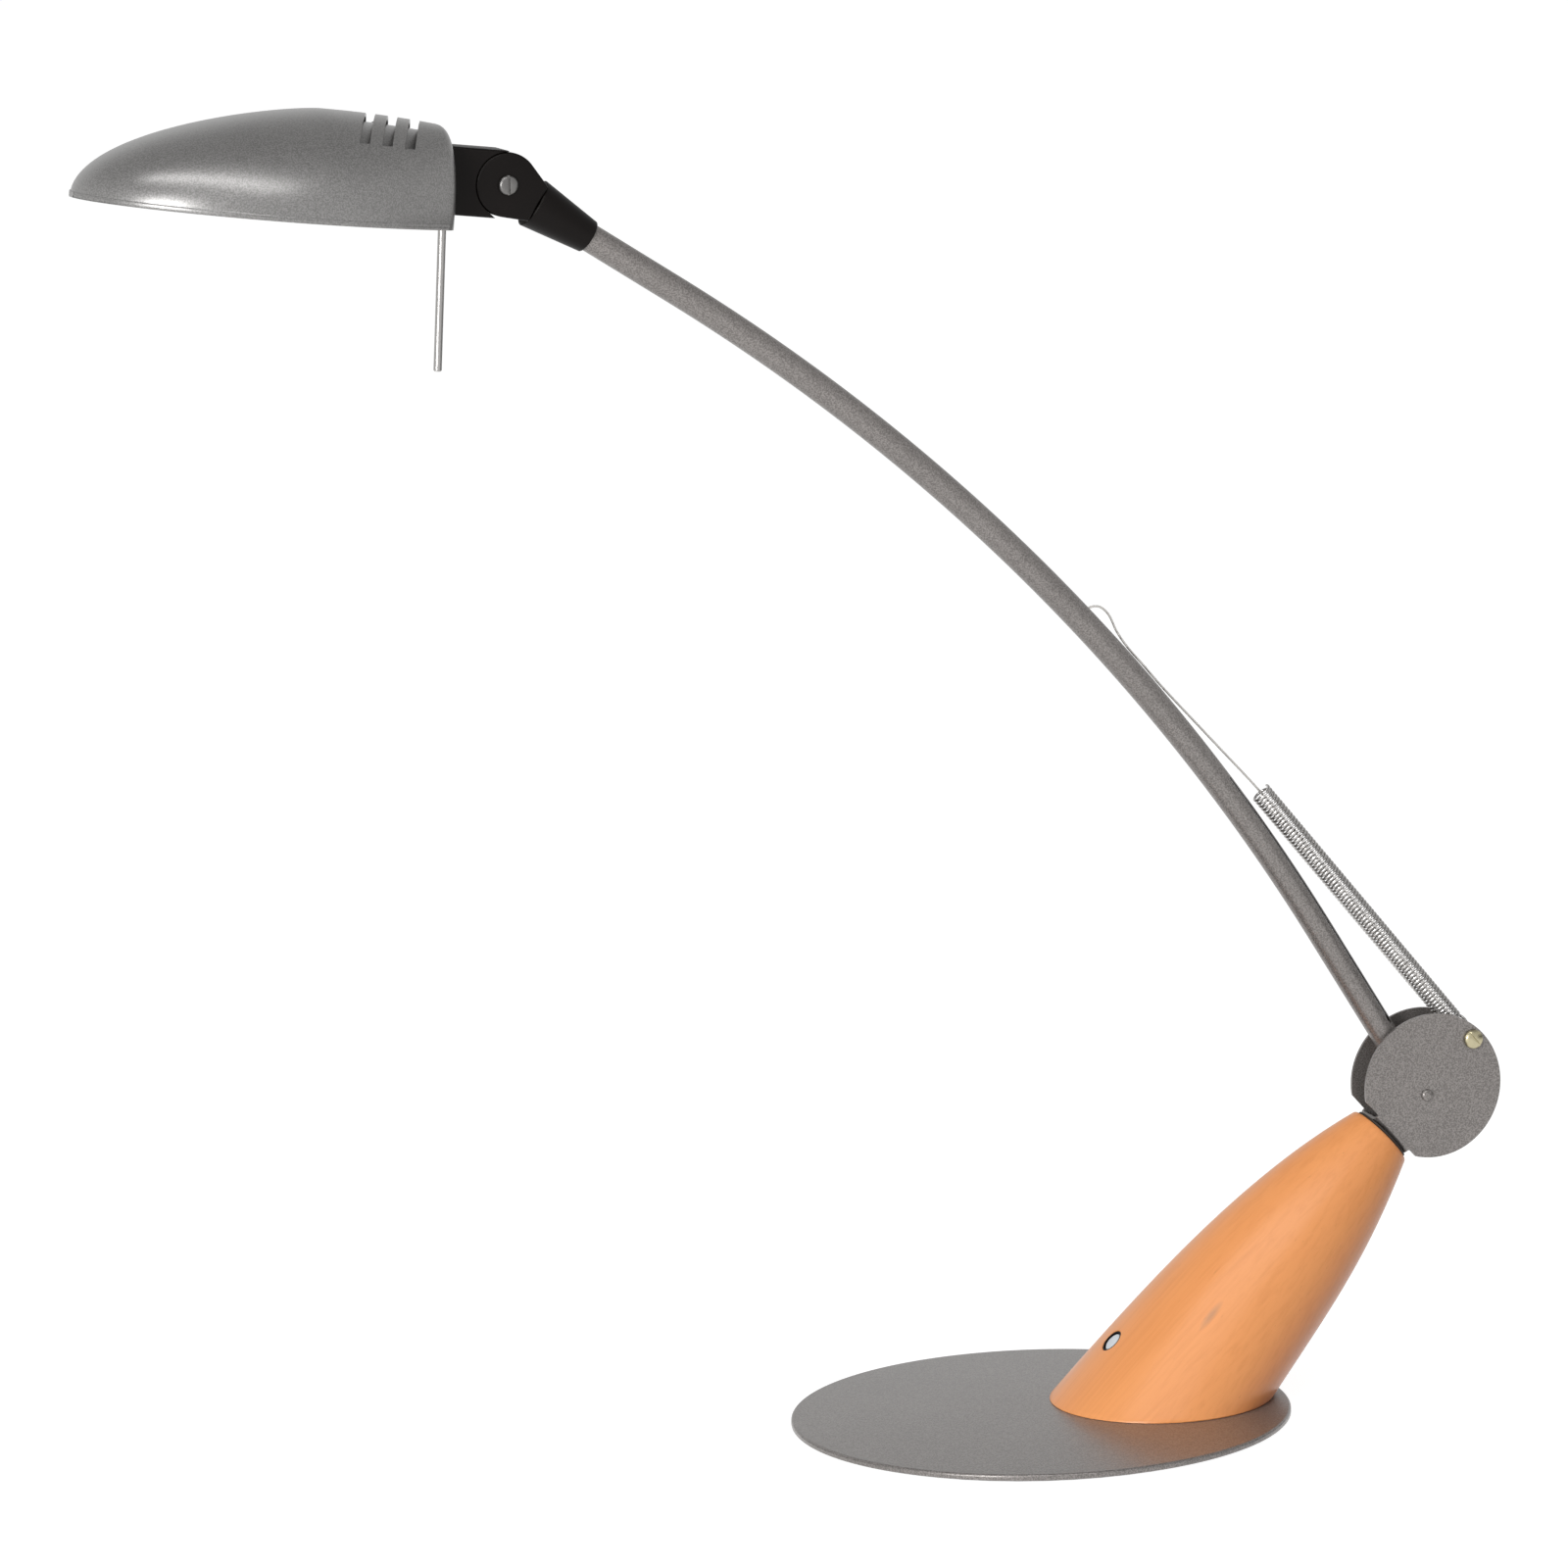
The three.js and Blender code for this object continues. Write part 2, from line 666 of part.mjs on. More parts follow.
// Spring frame: origin at the anchor, +Z up along the spring
const springLean = (90 - springLeanDeg) * degrees;
function fromSpring(z) {
  const local = new THREE.Vector3(-Math.sin(springLean), 0, Math.cos(springLean)).multiplyScalar(z);
  return local.add(anchor).sub(pivot);
}
function cablePath() {
  const touch = cableHoleDistance - cableLoopLength;
  const leave = touch - cableTouchLength;
  return new THREE.CatmullRomCurve3([
    armPoint(cableHoleDistance, 0),
    armPoint(cableHoleDistance, armRadius),
    armPoint(cableHoleDistance - cableLoopLength / 8, armRadius + cableLoopHeight * 0.85),
    armPoint(cableHoleDistance - cableLoopLength / 3, armRadius + cableLoopHeight),
    armPoint(cableHoleDistance - 2 * cableLoopLength / 3, cableSide + cableLoopHeight / 4),
    armPoint(touch, cableSide),
    armPoint((touch + leave) / 2, cableSide),
    armPoint(leave, cableSide),
    fromSpring(springTop).lerp(armPoint(leave, cableSide), 0.5),
    fromSpring(springTop),
    fromSpring(springTop - cableTail / 2),
    fromSpring(springTop - cableTail),
  ], false, "centripetal");
}
function tensionCable() {
  return sweep(circleShape(cableRadius, cableSides), cablePath(), cableSteps);
}
function cableBead() {
  const body = sweep(circleShape(beadRadius, smallSides / 2), new ArmLine(cableHoleDistance - beadLength / 2, cableHoleDistance + beadLength / 2, -clearance - beadRadius), 1);
  return body;
}
function cableFerrule() {
  const end = springTop - cableTail - clearance;
  const line = new THREE.LineCurve3(fromSpring(end), fromSpring(end - ferruleLength));
  return sweep(circleShape(ferruleRadius, smallSides / 2), line, 1);
}
function armLug() {
  const eye = rodY(lugRadius, -lugHalfWidth, lugHalfWidth, roundSides);
  const collar = sweep(circleShape(lugHalfWidth, tubeSides), new ArmLine(0, armStart - clearance), 1);
  const spigot = sweep(circleShape(armRadius - armWall - clearance, smallSides), new ArmLine(armStart - overrun, armStart + lugSpigotLength), 1);
  return cut(joined(eye, collar, spigot), rodY(rivetRadius + clearance, -armRadius, armRadius, smallSides));
}
function frictionWashers() {
  const inner = lugHalfWidth + clearance;
  const outer = inner + frictionWasherThickness;
  const bore = rivetRadius + clearance;
  return [ringY(lugRadius, bore, -outer, -inner, smallSides), ringY(lugRadius, bore, inner, outer, smallSides)];
}

// Balance spring: one wire, hooked over the roller and wound up to the cable
function springWire() {
  const pitch = (springTop - springStart) / springCurls;
  const hook = rollerRadius + clearance + springWireRadius;
  const points = [];
  const hookSteps = 12;
  const hookTurn = 1.45 * halfTurn;
  for (let i = hookSteps; i >= 0; i -= 1) {
    const turn = -(i / hookSteps) * hookTurn;
    points.push(new THREE.Vector3(hook * Math.cos(turn), 0, hook * Math.sin(turn)));
  }
  const rise = springStart - pitch;
  points.push(new THREE.Vector3(hook, 0, rise / 2));
  points.push(new THREE.Vector3(springCoilRadius, -springWireRadius, rise));
  for (let i = 1; i <= springCurls * springSteps; i += 1) {
    const turn = (i / springSteps) * fullTurn;
    const z = springStart - pitch / 4 + (i / springSteps) * pitch * (springCurls - 1) / springCurls;
    points.push(new THREE.Vector3(springCoilRadius * Math.cos(turn), springCoilRadius * Math.sin(turn), z));
  }
  const last = points[points.length - 1];
  points.push(last.clone().add(new THREE.Vector3(0, 2 * springWireRadius, 0)));
  return points;
}
function tubeThrough(points, radius, sides) {
  const rings = [];
  const normal = new THREE.Vector3(0, 1, 0);
  points.forEach((point, i) => {
    const before = points[Math.max(i - 1, 0)];
    const after = points[Math.min(i + 1, points.length - 1)];
    const along = after.clone().sub(before).normalize();
    normal.addScaledVector(along, -normal.dot(along)).normalize();
    const side = along.clone().cross(normal);
    const ring = [];
    for (let k = 0; k < sides; k += 1) {
      const turn = (k / sides) * fullTurn;
      const out = normal.clone().multiplyScalar(Math.cos(turn)).addScaledVector(side, Math.sin(turn));
      ring.push(point.clone().addScaledVector(out, radius));
    }
    rings.push(ring);
  });
  return loft(rings);
}
function leastSelfGap(points, radius) {
  const near = 4;
  let least = Infinity;
  points.forEach((point, i) => {
    for (let k = i + near; k < Math.min(points.length, i + 3 * springSteps); k += 1) {
      least = Math.min(least, point.distanceTo(points[k]) - 2 * radius);
    }
  });
  return least;
}
function balanceSpring() {
  const points = springWire();
  console.log(`least gap between turns of the spring: ${leastSelfGap(points, springWireRadius).toFixed(2)} mm`);
  return tubeThrough(points, springWireRadius, springSides);
}

// Black joint, in a frame at the knuckle with +X down the neck towards the arm
const sleeveWideAt = knuckleReach - sleeveLength;
const neckEnd = sleeveWideAt - clearance;
function armSleeve() {
  const bulkhead = sleeveWideAt + neckBulkhead;
  const cavityEnd = bulkhead + neckNutThickness + 3 * clearance + swivelTubeHead;
  const cavity = neckNutRadius + clearance;
  const bore = armRadius + clearance;
  const hole = neckSpigotRadius + clearance;
  const body = turnedProfile([
    [hole, sleeveWideAt],
    [sleeveWideRadius - clearance, sleeveWideAt],
    [sleeveWideRadius, sleeveWideAt + clearance],
    [sleeveMouthRadius, knuckleReach],
    [bore, knuckleReach],
    [bore, cavityEnd],
    [cavity, cavityEnd],
    [cavity, bulkhead],
    [hole, bulkhead],
    [hole, sleeveWideAt],
  ], roundSides);
  return alongX(body);
}
// Side view of the neck, a round and two flanks, grown all round where something must clear it
function neckPlate(grow) {
  const end = neckEnd + grow;
  const half = neckEndHalfHeight + grow;
  const round = knuckleRadius + grow;
  const tangent = Math.atan2(half, end) + Math.acos(round / Math.hypot(end, half));
  const outline = new THREE.Shape();
  outline.moveTo(end, -half);
  outline.lineTo(end, half);
  outline.absarc(0, 0, round, tangent, fullTurn - tangent, false);
  outline.closePath();
  const depth = 2 * (neckHalfWidth + grow);
  const plate = new THREE.ExtrudeGeometry(outline, { depth, bevelEnabled: false, curveSegments: roundSides / 2 });
  return plate.rotateX(halfTurn / 2).translate(0, depth / 2, 0);
}
function neck() {
  const plate = neckPlate(0);
  const threadFrom = sleeveWideAt + neckBulkhead;
  const threadTo = threadFrom + clearance + neckNutThickness + clearance;
  const spigot = alongX(turnedProfile([
    [0, neckEnd - overrun],
    [neckSpigotRadius, neckEnd - overrun],
    [neckSpigotRadius, threadFrom - clearance],
    [neckThreadRadius, threadFrom],
    [neckThreadRadius, threadTo],
    [0, threadTo],
  ], tubeSides));
  const slot = joined(
    rodY(tongueRadius + 2 * clearance, -forkHalfGap, forkHalfGap, roundSides),
    box(-knuckleRadius - overrun, 0, -forkHalfGap, forkHalfGap, -knuckleRadius - overrun, knuckleRadius + overrun),
  );
  const through = neckHalfWidth + overrun;
  return cut(joined(plate, spigot), slot, rodY(knuckleShankRadius + clearance, -through, through, smallSides));
}
function neckNut() {
  const from = sleeveWideAt + neckBulkhead + clearance;
  return alongX(ringZ(neckNutRadius, neckThreadRadius + clearance, from, from + neckNutThickness, tubeSides));
}
function knuckleScrew() {
  const head = neckHalfWidth + clearance;
  const end = neckHalfWidth + 2 * clearance + knuckleNutThickness + knuckleShankRadius / 2;
  const outline = [
    [0, -end],
    [knuckleShankRadius, -end],
    [knuckleShankRadius, head],
    [knuckleHeadRadius, head],
    [knuckleHeadRadius, head + knuckleHeadHeight / 2],
    [knuckleHeadRadius - knuckleHeadHeight / 2, head + knuckleHeadHeight],
    [0, head + knuckleHeadHeight],
  ];
  const half = knuckleSlotWidth / 2;
  const slot = box(-half, half, -2 * knuckleHeadRadius, 2 * knuckleHeadRadius, head + knuckleHeadHeight / 2, head + 2 * knuckleHeadHeight);
  return alongY(cut(turnedProfile(outline, roundSides / 2), slot));
}
function nutOnFarSide(flats, shank, face, thickness) {
  return alongY(hexNut(flats, shank + clearance, -face - clearance - thickness, -face - clearance));
}
function knuckleWashers() {
  const inner = tongueHalfWidth + clearance;
  const outer = inner + knuckleWasherThickness;
  const bore = knuckleShankRadius + clearance;
  return [
    ringY(knuckleWasherRadius, bore, -outer, -inner, smallSides),
    ringY(knuckleWasherRadius, bore, inner, outer, smallSides),
  ];
}

// Shade and its insides, in a frame at the knuckle turned with the shade
function bracket() {
  const face = shadeRearX + clearance;
  const relief = neckPlate(clearance).rotateY(neckLean - shadeTilt + noseDownDeg * degrees);
  const block = cut(
    box(face, 0, -neckHalfWidth, neckHalfWidth, -bracketHalfHeight, bracketHalfHeight),
    rodY(knuckleRadius + clearance, -neckHalfWidth - overrun, neckHalfWidth + overrun, 2 * roundSides),
    relief,
  );
  const bridgeFrom = (face - knuckleRadius) / 2;
  const bridge = box(bridgeFrom, 0, -tongueHalfWidth, tongueHalfWidth, -tongueNeckHalfHeight, tongueNeckHalfHeight);
  const tongue = rodY(tongueRadius, -tongueHalfWidth, tongueHalfWidth, roundSides);
  const bore = rodY(knuckleShankRadius + clearance, -neckHalfWidth, neckHalfWidth, smallSides);
  const holes = bracketScrewPlaces().map(([y, z]) => {
    const hole = alongX(rodZ(bracketScrewShankRadius + clearance, face - overrun, face + bracketScrewGrip + clearance, smallSides / 2));
    return moved(hole, 0, y, z);
  });
  const rodHole = leaned(rodZ(rodThreadRadius + clearance, -overrun, rodThreadLength + clearance, smallSides / 2));
  return cut(joined(block, bridge, tongue), bore, rodHole, ...holes);
}
function bracketScrewPlaces() {
  const high = bracketHalfHeight - bracketScrewZ;
  return [[-bracketScrewY, high], [bracketScrewY, high]];
}
// Half height and half width of the shade at x, measured forwards from its rear face
function shadeSize(x, form) {
  const crest = shadeCrestX - form.inset;
  const widest = shadeWidestX - form.inset;
  const depth = form.length;
  let height = form.height;
  let width = form.width;
  if (x > crest) height *= Math.sqrt(Math.max(0, 1 - ((x - crest) / (depth - crest)) ** frontPowerShare));
  else height *= 1 - rearFallShare * (1 - x / crest) ** 2;
  if (x > widest) width *= Math.sqrt(Math.max(0, 1 - ((x - widest) / (depth - widest)) ** 2));
  else width -= (form.width - form.rearWidth) * (1 - x / widest) ** 2;
  if (x < form.round) {
    const tuck = form.round - Math.sqrt(form.round ** 2 - (form.round - x) ** 2);
    height -= tuck;
    width -= tuck;
  }
  return { height, width };
}
function shadeForm(inset, height) {
  return {
    inset,
    height: height - inset,
    length: shadeLength - 2 * inset,
    width: shadeHalfWidth - inset,
    rearWidth: shadeRearHalfWidth - inset,
    round: Math.max(shadeRearRound - inset, clearance),
  };
}
// A closed dome: form from shadeForm, its open side carried down by skirt
function shadeDome(form, skirt) {
  const along = [0, form.round * (1 - Math.cos(halfTurn / 6)), form.round * (1 - Math.cos(halfTurn / 3)), form.round];
  const crest = shadeCrestX - form.inset;
  along.push((form.round + crest) / 3, (form.round + crest) / 1.5);
  for (let i = 0; i < shadeStations; i += 1) {
    along.push(crest + (form.length - crest) * Math.sin((i / shadeStations) * halfTurn / 2));
  }
  const tip = form.length * (1 - clearance / (2 * shadeLength));
  along.push((along[along.length - 1] + tip) / 2, tip);
  const rings = along.map((x) => {
    const { height, width } = shadeSize(x, form);
    const sag = rimSag * Math.sin((x / form.length) * halfTurn);
    const reach = shadeRearX - form.inset - x;
    const ring = [];
    for (let k = 0; k <= shadeSectionSteps; k += 1) {
      const turn = (k / shadeSectionSteps) * halfTurn;
      const y = -width * Math.sign(Math.cos(turn)) * Math.abs(Math.cos(turn)) ** (2 / sectionPowerShare);
      const z = (height + sag) * Math.abs(Math.sin(turn)) ** (2 / sectionPowerShare) - sag;
      ring.push(new THREE.Vector3(reach, y, shadeRimZ + z));
    }
    ring[shadeSectionSteps].z = shadeRimZ - sag;
    if (skirt > 0) {
      ring.push(new THREE.Vector3(reach, width, shadeRimZ - sag - skirt));
      ring.push(new THREE.Vector3(reach, -width, shadeRimZ - sag - skirt));
    }
    return ring;
  });
  return loft(rings);
}
function shade() {
  const outside = shadeDome(shadeForm(0, shadeHeight), 0);
  const inside = shadeDome(shadeForm(shadeWall, shadeHeight), overrun);
  const vents = [];
  for (let i = 0; i < ventCount; i += 1) {
    const middle = ventFirstX + i * ventPitch;
    const { height } = shadeSize(middle, shadeForm(0, shadeHeight));
    const x = shadeRearX - middle;
    const floor = shadeRimZ + height - ventDepth;
    vents.push(box(x - ventWidth / 2, x + ventWidth / 2, -shadeHalfWidth, shadeHalfWidth, floor, floor + 2 * ventDepth));
  }
  const holes = bracketScrewPlaces().map(([y, z]) => {
    const hole = alongX(rodZ(bracketScrewShankRadius + clearance, shadeRearX - shadeWall - overrun, shadeRearX + overrun, smallSides / 2));
    return moved(hole, 0, y, z);
  });
  return cut(outside, inside, ...vents, ...holes);
}
function reflector() {
  const inset = shadeWall + clearance;
  const outside = shadeDome(shadeForm(inset, reflectorHeight), 0);
  const inside = shadeDome(shadeForm(inset + reflectorWall, reflectorHeight), overrun);
  const front = box(shadeRearX - shadeLength, shadeRearX - reflectorRearX, -shadeHalfWidth, shadeHalfWidth, shadeRimZ + reflectorLift, shadeRimZ + shadeHeight);
  return shared(cut(outside, inside), front);
}
const wallInside = shadeRearX - shadeWall - clearance;
function holderPlate() {
  const back = wallInside - holderPlateThickness;
  const leg = box(back, wallInside, -holderPlateHalfWidth, holderPlateHalfWidth, 0, holderPlateTop);
  const arm = box(back - holderPlateReach, back + holderPlateThickness / 2, -holderPlateHalfWidth, holderPlateHalfWidth, 0, holderPlateThickness);
  const holes = bracketScrewPlaces().map(([y, z]) => {
    const hole = alongX(rodZ(bracketScrewShankRadius + clearance, back - overrun, wallInside + overrun, smallSides / 2));
    return moved(hole, 0, y, z);
  });
  return cut(joined(leg, arm), ...holes);
}
function bracketScrews() {
  const head = wallInside - holderPlateThickness - clearance;
  const screw = alongX(turnedProfile([
    [0, head - bracketScrewHeadHeight],
    [bracketScrewHeadRadius, head - bracketScrewHeadHeight],
    [bracketScrewHeadRadius, head],
    [bracketScrewShankRadius, head],
    [bracketScrewShankRadius, shadeRearX + clearance + bracketScrewGrip],
    [0, shadeRearX + clearance + bracketScrewGrip],
  ], smallSides));
  return bracketScrewPlaces().map(([y, z]) => moved(screw, 0, y, z));
}
const holderFront = wallInside - holderPlateThickness - holderPlateReach;
function lampHolder() {
  const top = -clearance;
  const body = box(holderFront, holderFront + holderLength, -holderHalfWidth, holderHalfWidth, top - holderHeight, top);
  const mouth = alongX(rodZ(bulbRadius / 2 + clearance, holderFront - overrun, holderFront + holderLength / 3, smallSides));
  return cut(body, moved(mouth, 0, 0, top - holderHeight / 2));
}
function bulb() {
  const tip = holderFront - clearance - bulbLength;
  const dome = domeProfile(bulbRadius, 0, bulbRadius, 5).map(([radius, height]) => [radius, tip + bulbRadius - height]).reverse();
  const outline = [
    ...dome,
    [bulbRadius, holderFront - clearance],
    [bulbRadius / 2, holderFront - clearance],
    [bulbRadius / 2, holderFront + holderLength / 3 - clearance],
    [0, holderFront + holderLength / 3 - clearance],
  ];
  return moved(alongX(turnedProfile(outline, tubeSides)), 0, 0, -clearance - holderHeight / 2);
}

// Handle rod, leaning a little, screwed into the black block from below, behind the shade
const rodLean = rodLeanDeg * degrees;
function handleRod() {
  const bottom = shadeRimZ + bracketHalfHeight - rodDrop;
  const shoulder = -clearance - rodRadius * Math.sin(rodLean);
  const rod = turnedProfile([
    [0, bottom],
    [rodRadius - rodEndChamfer, bottom],
    [rodRadius, bottom + rodEndChamfer],
    [rodRadius, shoulder],
    [rodThreadRadius, shoulder],
    [rodThreadRadius, rodThreadLength],
    [0, rodThreadLength],
  ], tubeSides);
  return leaned(rod);
}
function leaned(geometry) {
  const rimToBlock = -bracketHalfHeight - shadeRimZ;
  return geometry.rotateY(-rodLean).translate(rodX - rimToBlock * Math.tan(rodLean), 0, -bracketHalfHeight);
}

// The lamp put together
function framed(position, turnY, ...meshes) {
  const group = new THREE.Group();
  group.position.copy(position);
  group.rotation.y = turnY;
  group.add(...meshes);
  return group;
}
function baseGroup() {
  return framed(
    new THREE.Vector3(),
    0,
    part("base_pad", rodZ(plateRadius - padInset, 0, padThickness, 2 * roundSides), rubber),
    part("base_plate", basePlate(), silverPaint),
    ...numbered("base_screw", baseScrews(), steel),
    part("wooden_foot", woodenFoot(), beech),
    part("switch_bush", switchBush(), blackPlastic),
    part("switch_button", button(), palePlastic),
    part("switch_body", switchBody(), blackPlastic),
    part("lead_inlet", leadInlet(), rubber),
  );
}
function yokeGroup() {
  const washer = ringZ(washerRadius, swivelTubeRadius + clearance, clearance, clearance + washerThickness, roundSides);
  const springWasherZ = webTop + clearance;
  const springWasher = ringZ(springWasherRadius, swivelTubeRadius + clearance, springWasherZ, springWasherZ + springWasherThickness, tubeSides);
  const rollerHalf = cheekInside - clearance;
  const roller = ringY(rollerRadius, anchorShankRadius + clearance, -rollerHalf, rollerHalf, tubeSides);
  const anchorNut = nutOnFarSide(anchorNutFlats, anchorShankRadius, cheekOutside, anchorNutThickness);
  return framed(
    new THREE.Vector3(footTopX, 0, footTopZ),
    footTilt,
    part("swivel_washer", washer, fibre),
    part("swivel_tube", swivelTube(), steel),
    part("swivel_spring_washer", springWasher, steel),
    part("swivel_nut", swivelNut(), steel),
    part("yoke", yoke(), silverPaint),
    part("pivot_rivet", moved(pivotRivet(), pivotX, 0, pivotZ), silverPaint),
    part("spring_screw", moved(anchorScrew(), anchorX, 0, anchorZ), zinc),
    part("spring_roller", moved(roller, anchorX, 0, anchorZ), steel),
    part("spring_nut", moved(anchorNut, anchorX, 0, anchorZ), zinc),
  );
}
function armGroup() {
  return framed(
    pivot,
    0,
    part("arm_tube", armTube(), silverPaint),
    part("arm_lug", armLug(), steel),
    ...numbered("friction_washer", frictionWashers(), fibre),
    part("tension_cable", tensionCable(), steel),
    part("cable_bead", cableBead(), steel),
    part("cable_ferrule", cableFerrule(), steel),
  );
}
function springGroup() {
  return framed(anchor, -springLean, part("balance_spring", balanceSpring(), steel));
}
function neckGroup() {
  const nut = nutOnFarSide(knuckleNutFlats, knuckleShankRadius, neckHalfWidth, knuckleNutThickness);
  return framed(
    knuckle.clone().add(pivot),
    neckLean,
    part("arm_sleeve", armSleeve(), blackPlastic),
    part("neck", neck(), blackPlastic),
    part("neck_nut", neckNut(), steel),
    part("knuckle_screw", knuckleScrew(), steel),
    part("knuckle_nut", nut, steel),
    ...numbered("knuckle_washer", knuckleWashers(), fibre),
  );
}
function shadeGroup() {
  return framed(
    knuckle.clone().add(pivot),
    shadeTilt,
    part("head_bracket", bracket(), blackPlastic),
    ...numbered("bracket_screw", bracketScrews(), steel),
    part("shade", shade(), silverPaint),
    part("reflector", reflector(), brightAluminium),
    part("holder_plate", holderPlate(), steel),
    part("lamp_holder", lampHolder(), ceramic),
    part("bulb", bulb(), glass),
    part("handle_rod", handleRod(), steel),
  );
}

const lamp = new THREE.Group();
lamp.add(baseGroup(), yokeGroup(), armGroup(), springGroup(), neckGroup(), shadeGroup());

export default lamp;
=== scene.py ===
"""Desk lamp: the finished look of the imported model, piece by piece, in metres."""

import math

import bmesh
import bpy
from bpy.props import FloatProperty, FloatVectorProperty, IntProperty, PointerProperty
from mathutils import Matrix, Vector


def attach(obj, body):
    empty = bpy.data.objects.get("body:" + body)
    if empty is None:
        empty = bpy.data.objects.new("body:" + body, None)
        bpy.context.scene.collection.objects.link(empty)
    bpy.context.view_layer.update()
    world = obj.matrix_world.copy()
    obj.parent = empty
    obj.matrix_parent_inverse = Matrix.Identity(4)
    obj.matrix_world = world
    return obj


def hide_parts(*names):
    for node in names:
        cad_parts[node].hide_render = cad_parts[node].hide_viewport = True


bl_info = {
    "name": "Desk lamp",
    "version": (1, 0, 0),
    "blender": (4, 5, 0),
    "location": "3D View > Sidebar > Lamp",
    "description": "Builds the pieces and finishes of a spring-balanced desk lamp",
    "category": "Object",
}

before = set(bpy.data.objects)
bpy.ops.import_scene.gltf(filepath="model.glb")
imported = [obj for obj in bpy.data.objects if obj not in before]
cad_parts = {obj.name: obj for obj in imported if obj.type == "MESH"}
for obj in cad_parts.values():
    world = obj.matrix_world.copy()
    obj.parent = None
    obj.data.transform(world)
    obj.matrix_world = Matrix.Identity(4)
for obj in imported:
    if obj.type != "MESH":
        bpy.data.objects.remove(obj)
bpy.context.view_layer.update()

# Shapes are worked out in millimetres and stored in metres
MM = 0.001
CLEARANCE = 0.3
OVERRUN = 2
SHORT_OVERRUN = 1
CLOSE_FIT = 0.02
QUARTER = math.pi / 2
SMOOTH_BELOW = math.radians(36)
CORNER_SHARE = 0.45
WELD_REACH = 0.002
FLAT_BELOW = math.radians(0.5)

# Edges that bend by more than these degrees are rounded
EDGE_ANGLE = 40
SMALL_EDGE_ANGLE = 50
JOINT_EDGE_ANGLE = 55

# Sides of round forms, from the largest to the thinnest wire
FINEST_ROUND = 192
FINE_ROUND = 96
SLEEVE_ROUND = 80
ROUND = 64
TUBE_ROUND = 56
FITTING_ROUND = 48
SMALL_ROUND = 40
SCREW_ROUND = 32
HOLE_ROUND = 24
CABLE_ROUND = 16
WIRE_ROUND = 10
STAY_ROUND = 8
FILAMENT_ROUND = 6

# Base plate and the screws that hold the foot from below
LOWER_EDGE = 0.4
EDGE_STEPS = 8
SCREW_CIRCLE = 30
SCREW_COUNT = 3
SCREW_BOTTOM = 1.1
SCREW_HEAD = 4
SCREW_HEAD_TOP = 3.1
SCREW_SHANK = 1.9
SCREW_LENGTH = 14
SCREW_POINT = 2

# Foot; an edge's rows are (share of the height, inset)
FOOT_X = 51.6
FOOT_TOP = Vector((149.1, 0, 100.4))
FOOT_TILT = math.radians(49.5)
FOOT_TILT_LEAD = -0.107
FOOT_BOW = 1.25
FOOT_RADII = (45.2, 33.8, 29.8, 14)
FOOT_AXIS_TILT = math.radians(45.1)
FOOT_ROWS = 64
FOOT_LOWER_EDGE = ((0, 0.7), (0.0015, 0.25), (0.005, 0))
FOOT_UPPER_EDGE = ((0.995, 0), (0.9985, 0.25), (1, 0.8))
WIRE_BORE = 6.2
SEAT_STEP = 1 / 28

# Switch; its hole's mouth is (out, up) and the button's crown (in, down)
SWITCH_SHARE = 0.192
SWITCH_TURN = math.radians(180)
SWITCH_POCKET = 6.3
SWITCH_POCKET_DEPTH = 19.1
SWITCH_GUIDE_DEPTH = 4.5
SWITCH_ACCESS = 7.5
SWITCH_MOUTH = ((0, -0.6), (0.25, -0.05), (0.9, 0.7))
BUTTON_LENGTH = 7
BUTTON_SHOULDER = 0.9
BUTTON_ROUND = 0.7
BUTTON_STEPS = 6
BUTTON_CROWN = ((1.6, 0.08), (2.6, 0.02))
# The collar round the button is black plastic and also stands in for the painted shade in the recess
SHADOW_COLLAR_WALL = 0.6
SHADOW_COLLAR_SINK = 0.3

# Rubber inlet for the supply lead
INLET_SHARE = 0.07
INLET_TURN = math.radians(62)
INLET_SINK = 1.2
INLET_RADIUS = 5.5
INLET_TOP_RADIUS = 4.2
INLET_NECK = 3.8
INLET_HOLE = 2.6
INLET_LENGTH = 7
INLET_FLANGE = 1.6
INLET_SOFTNESS = 0.4

# Yoke
SHEET = 1.3
CHEEK_INSIDE = 6.5
CHEEK_OUTSIDE = CHEEK_INSIDE + SHEET
CHEEK_RADIUS = 29.5
CHEEK_X = -2
CHEEK_Z = 28.5
WEB_BOTTOM = 1.4
WEB_HALF = 10
BEND = 2.4
OUTER_BEND_STEPS = 8
INNER_BEND_STEPS = 6
YOKE_EDGE = 0.42
SWIVEL_HOLE = 4.3
PIVOT = (-1, 24.1)
ANCHOR = (-3.9, 53.4)
RIVET_SHANK = 1.7
RIVET_HEAD = 2.5
RIVET_DOME = 1.3
RIVET_STEPS = 8

# Slotted screws; a head's rows are (radius, height over its seat)
SHANK = 2
SHANK_END = 1.7
DRIVER_SLOT = 0.9
DRIVER_REACH = 8
SPRING_SCREW_TAIL = 4
SPRING_SCREW_TIP = 0.4
SPRING_SCREW_SEAT = ((3.7, 0), (3.9, 0.2))
SPRING_SCREW_SIDE = 0.77
SPRING_SCREW_TOP = 2.3
SPRING_SCREW_STEPS = 10
SPRING_SCREW_SOFTNESS = 0.08
KNUCKLE_SCREW_TAIL = 4.5
KNUCKLE_SCREW_TIP = 0.3
KNUCKLE_SCREW_HEAD = ((3.6, 0), (3.8, 0.2), (3.8, 0.8), (3.4, 1.35), (2.8, 1.6), (0, 1.6))
KNUCKLE_SLOT_FLOOR = 0.7
KNUCKLE_SCREW_SOFTNESS = 0.07

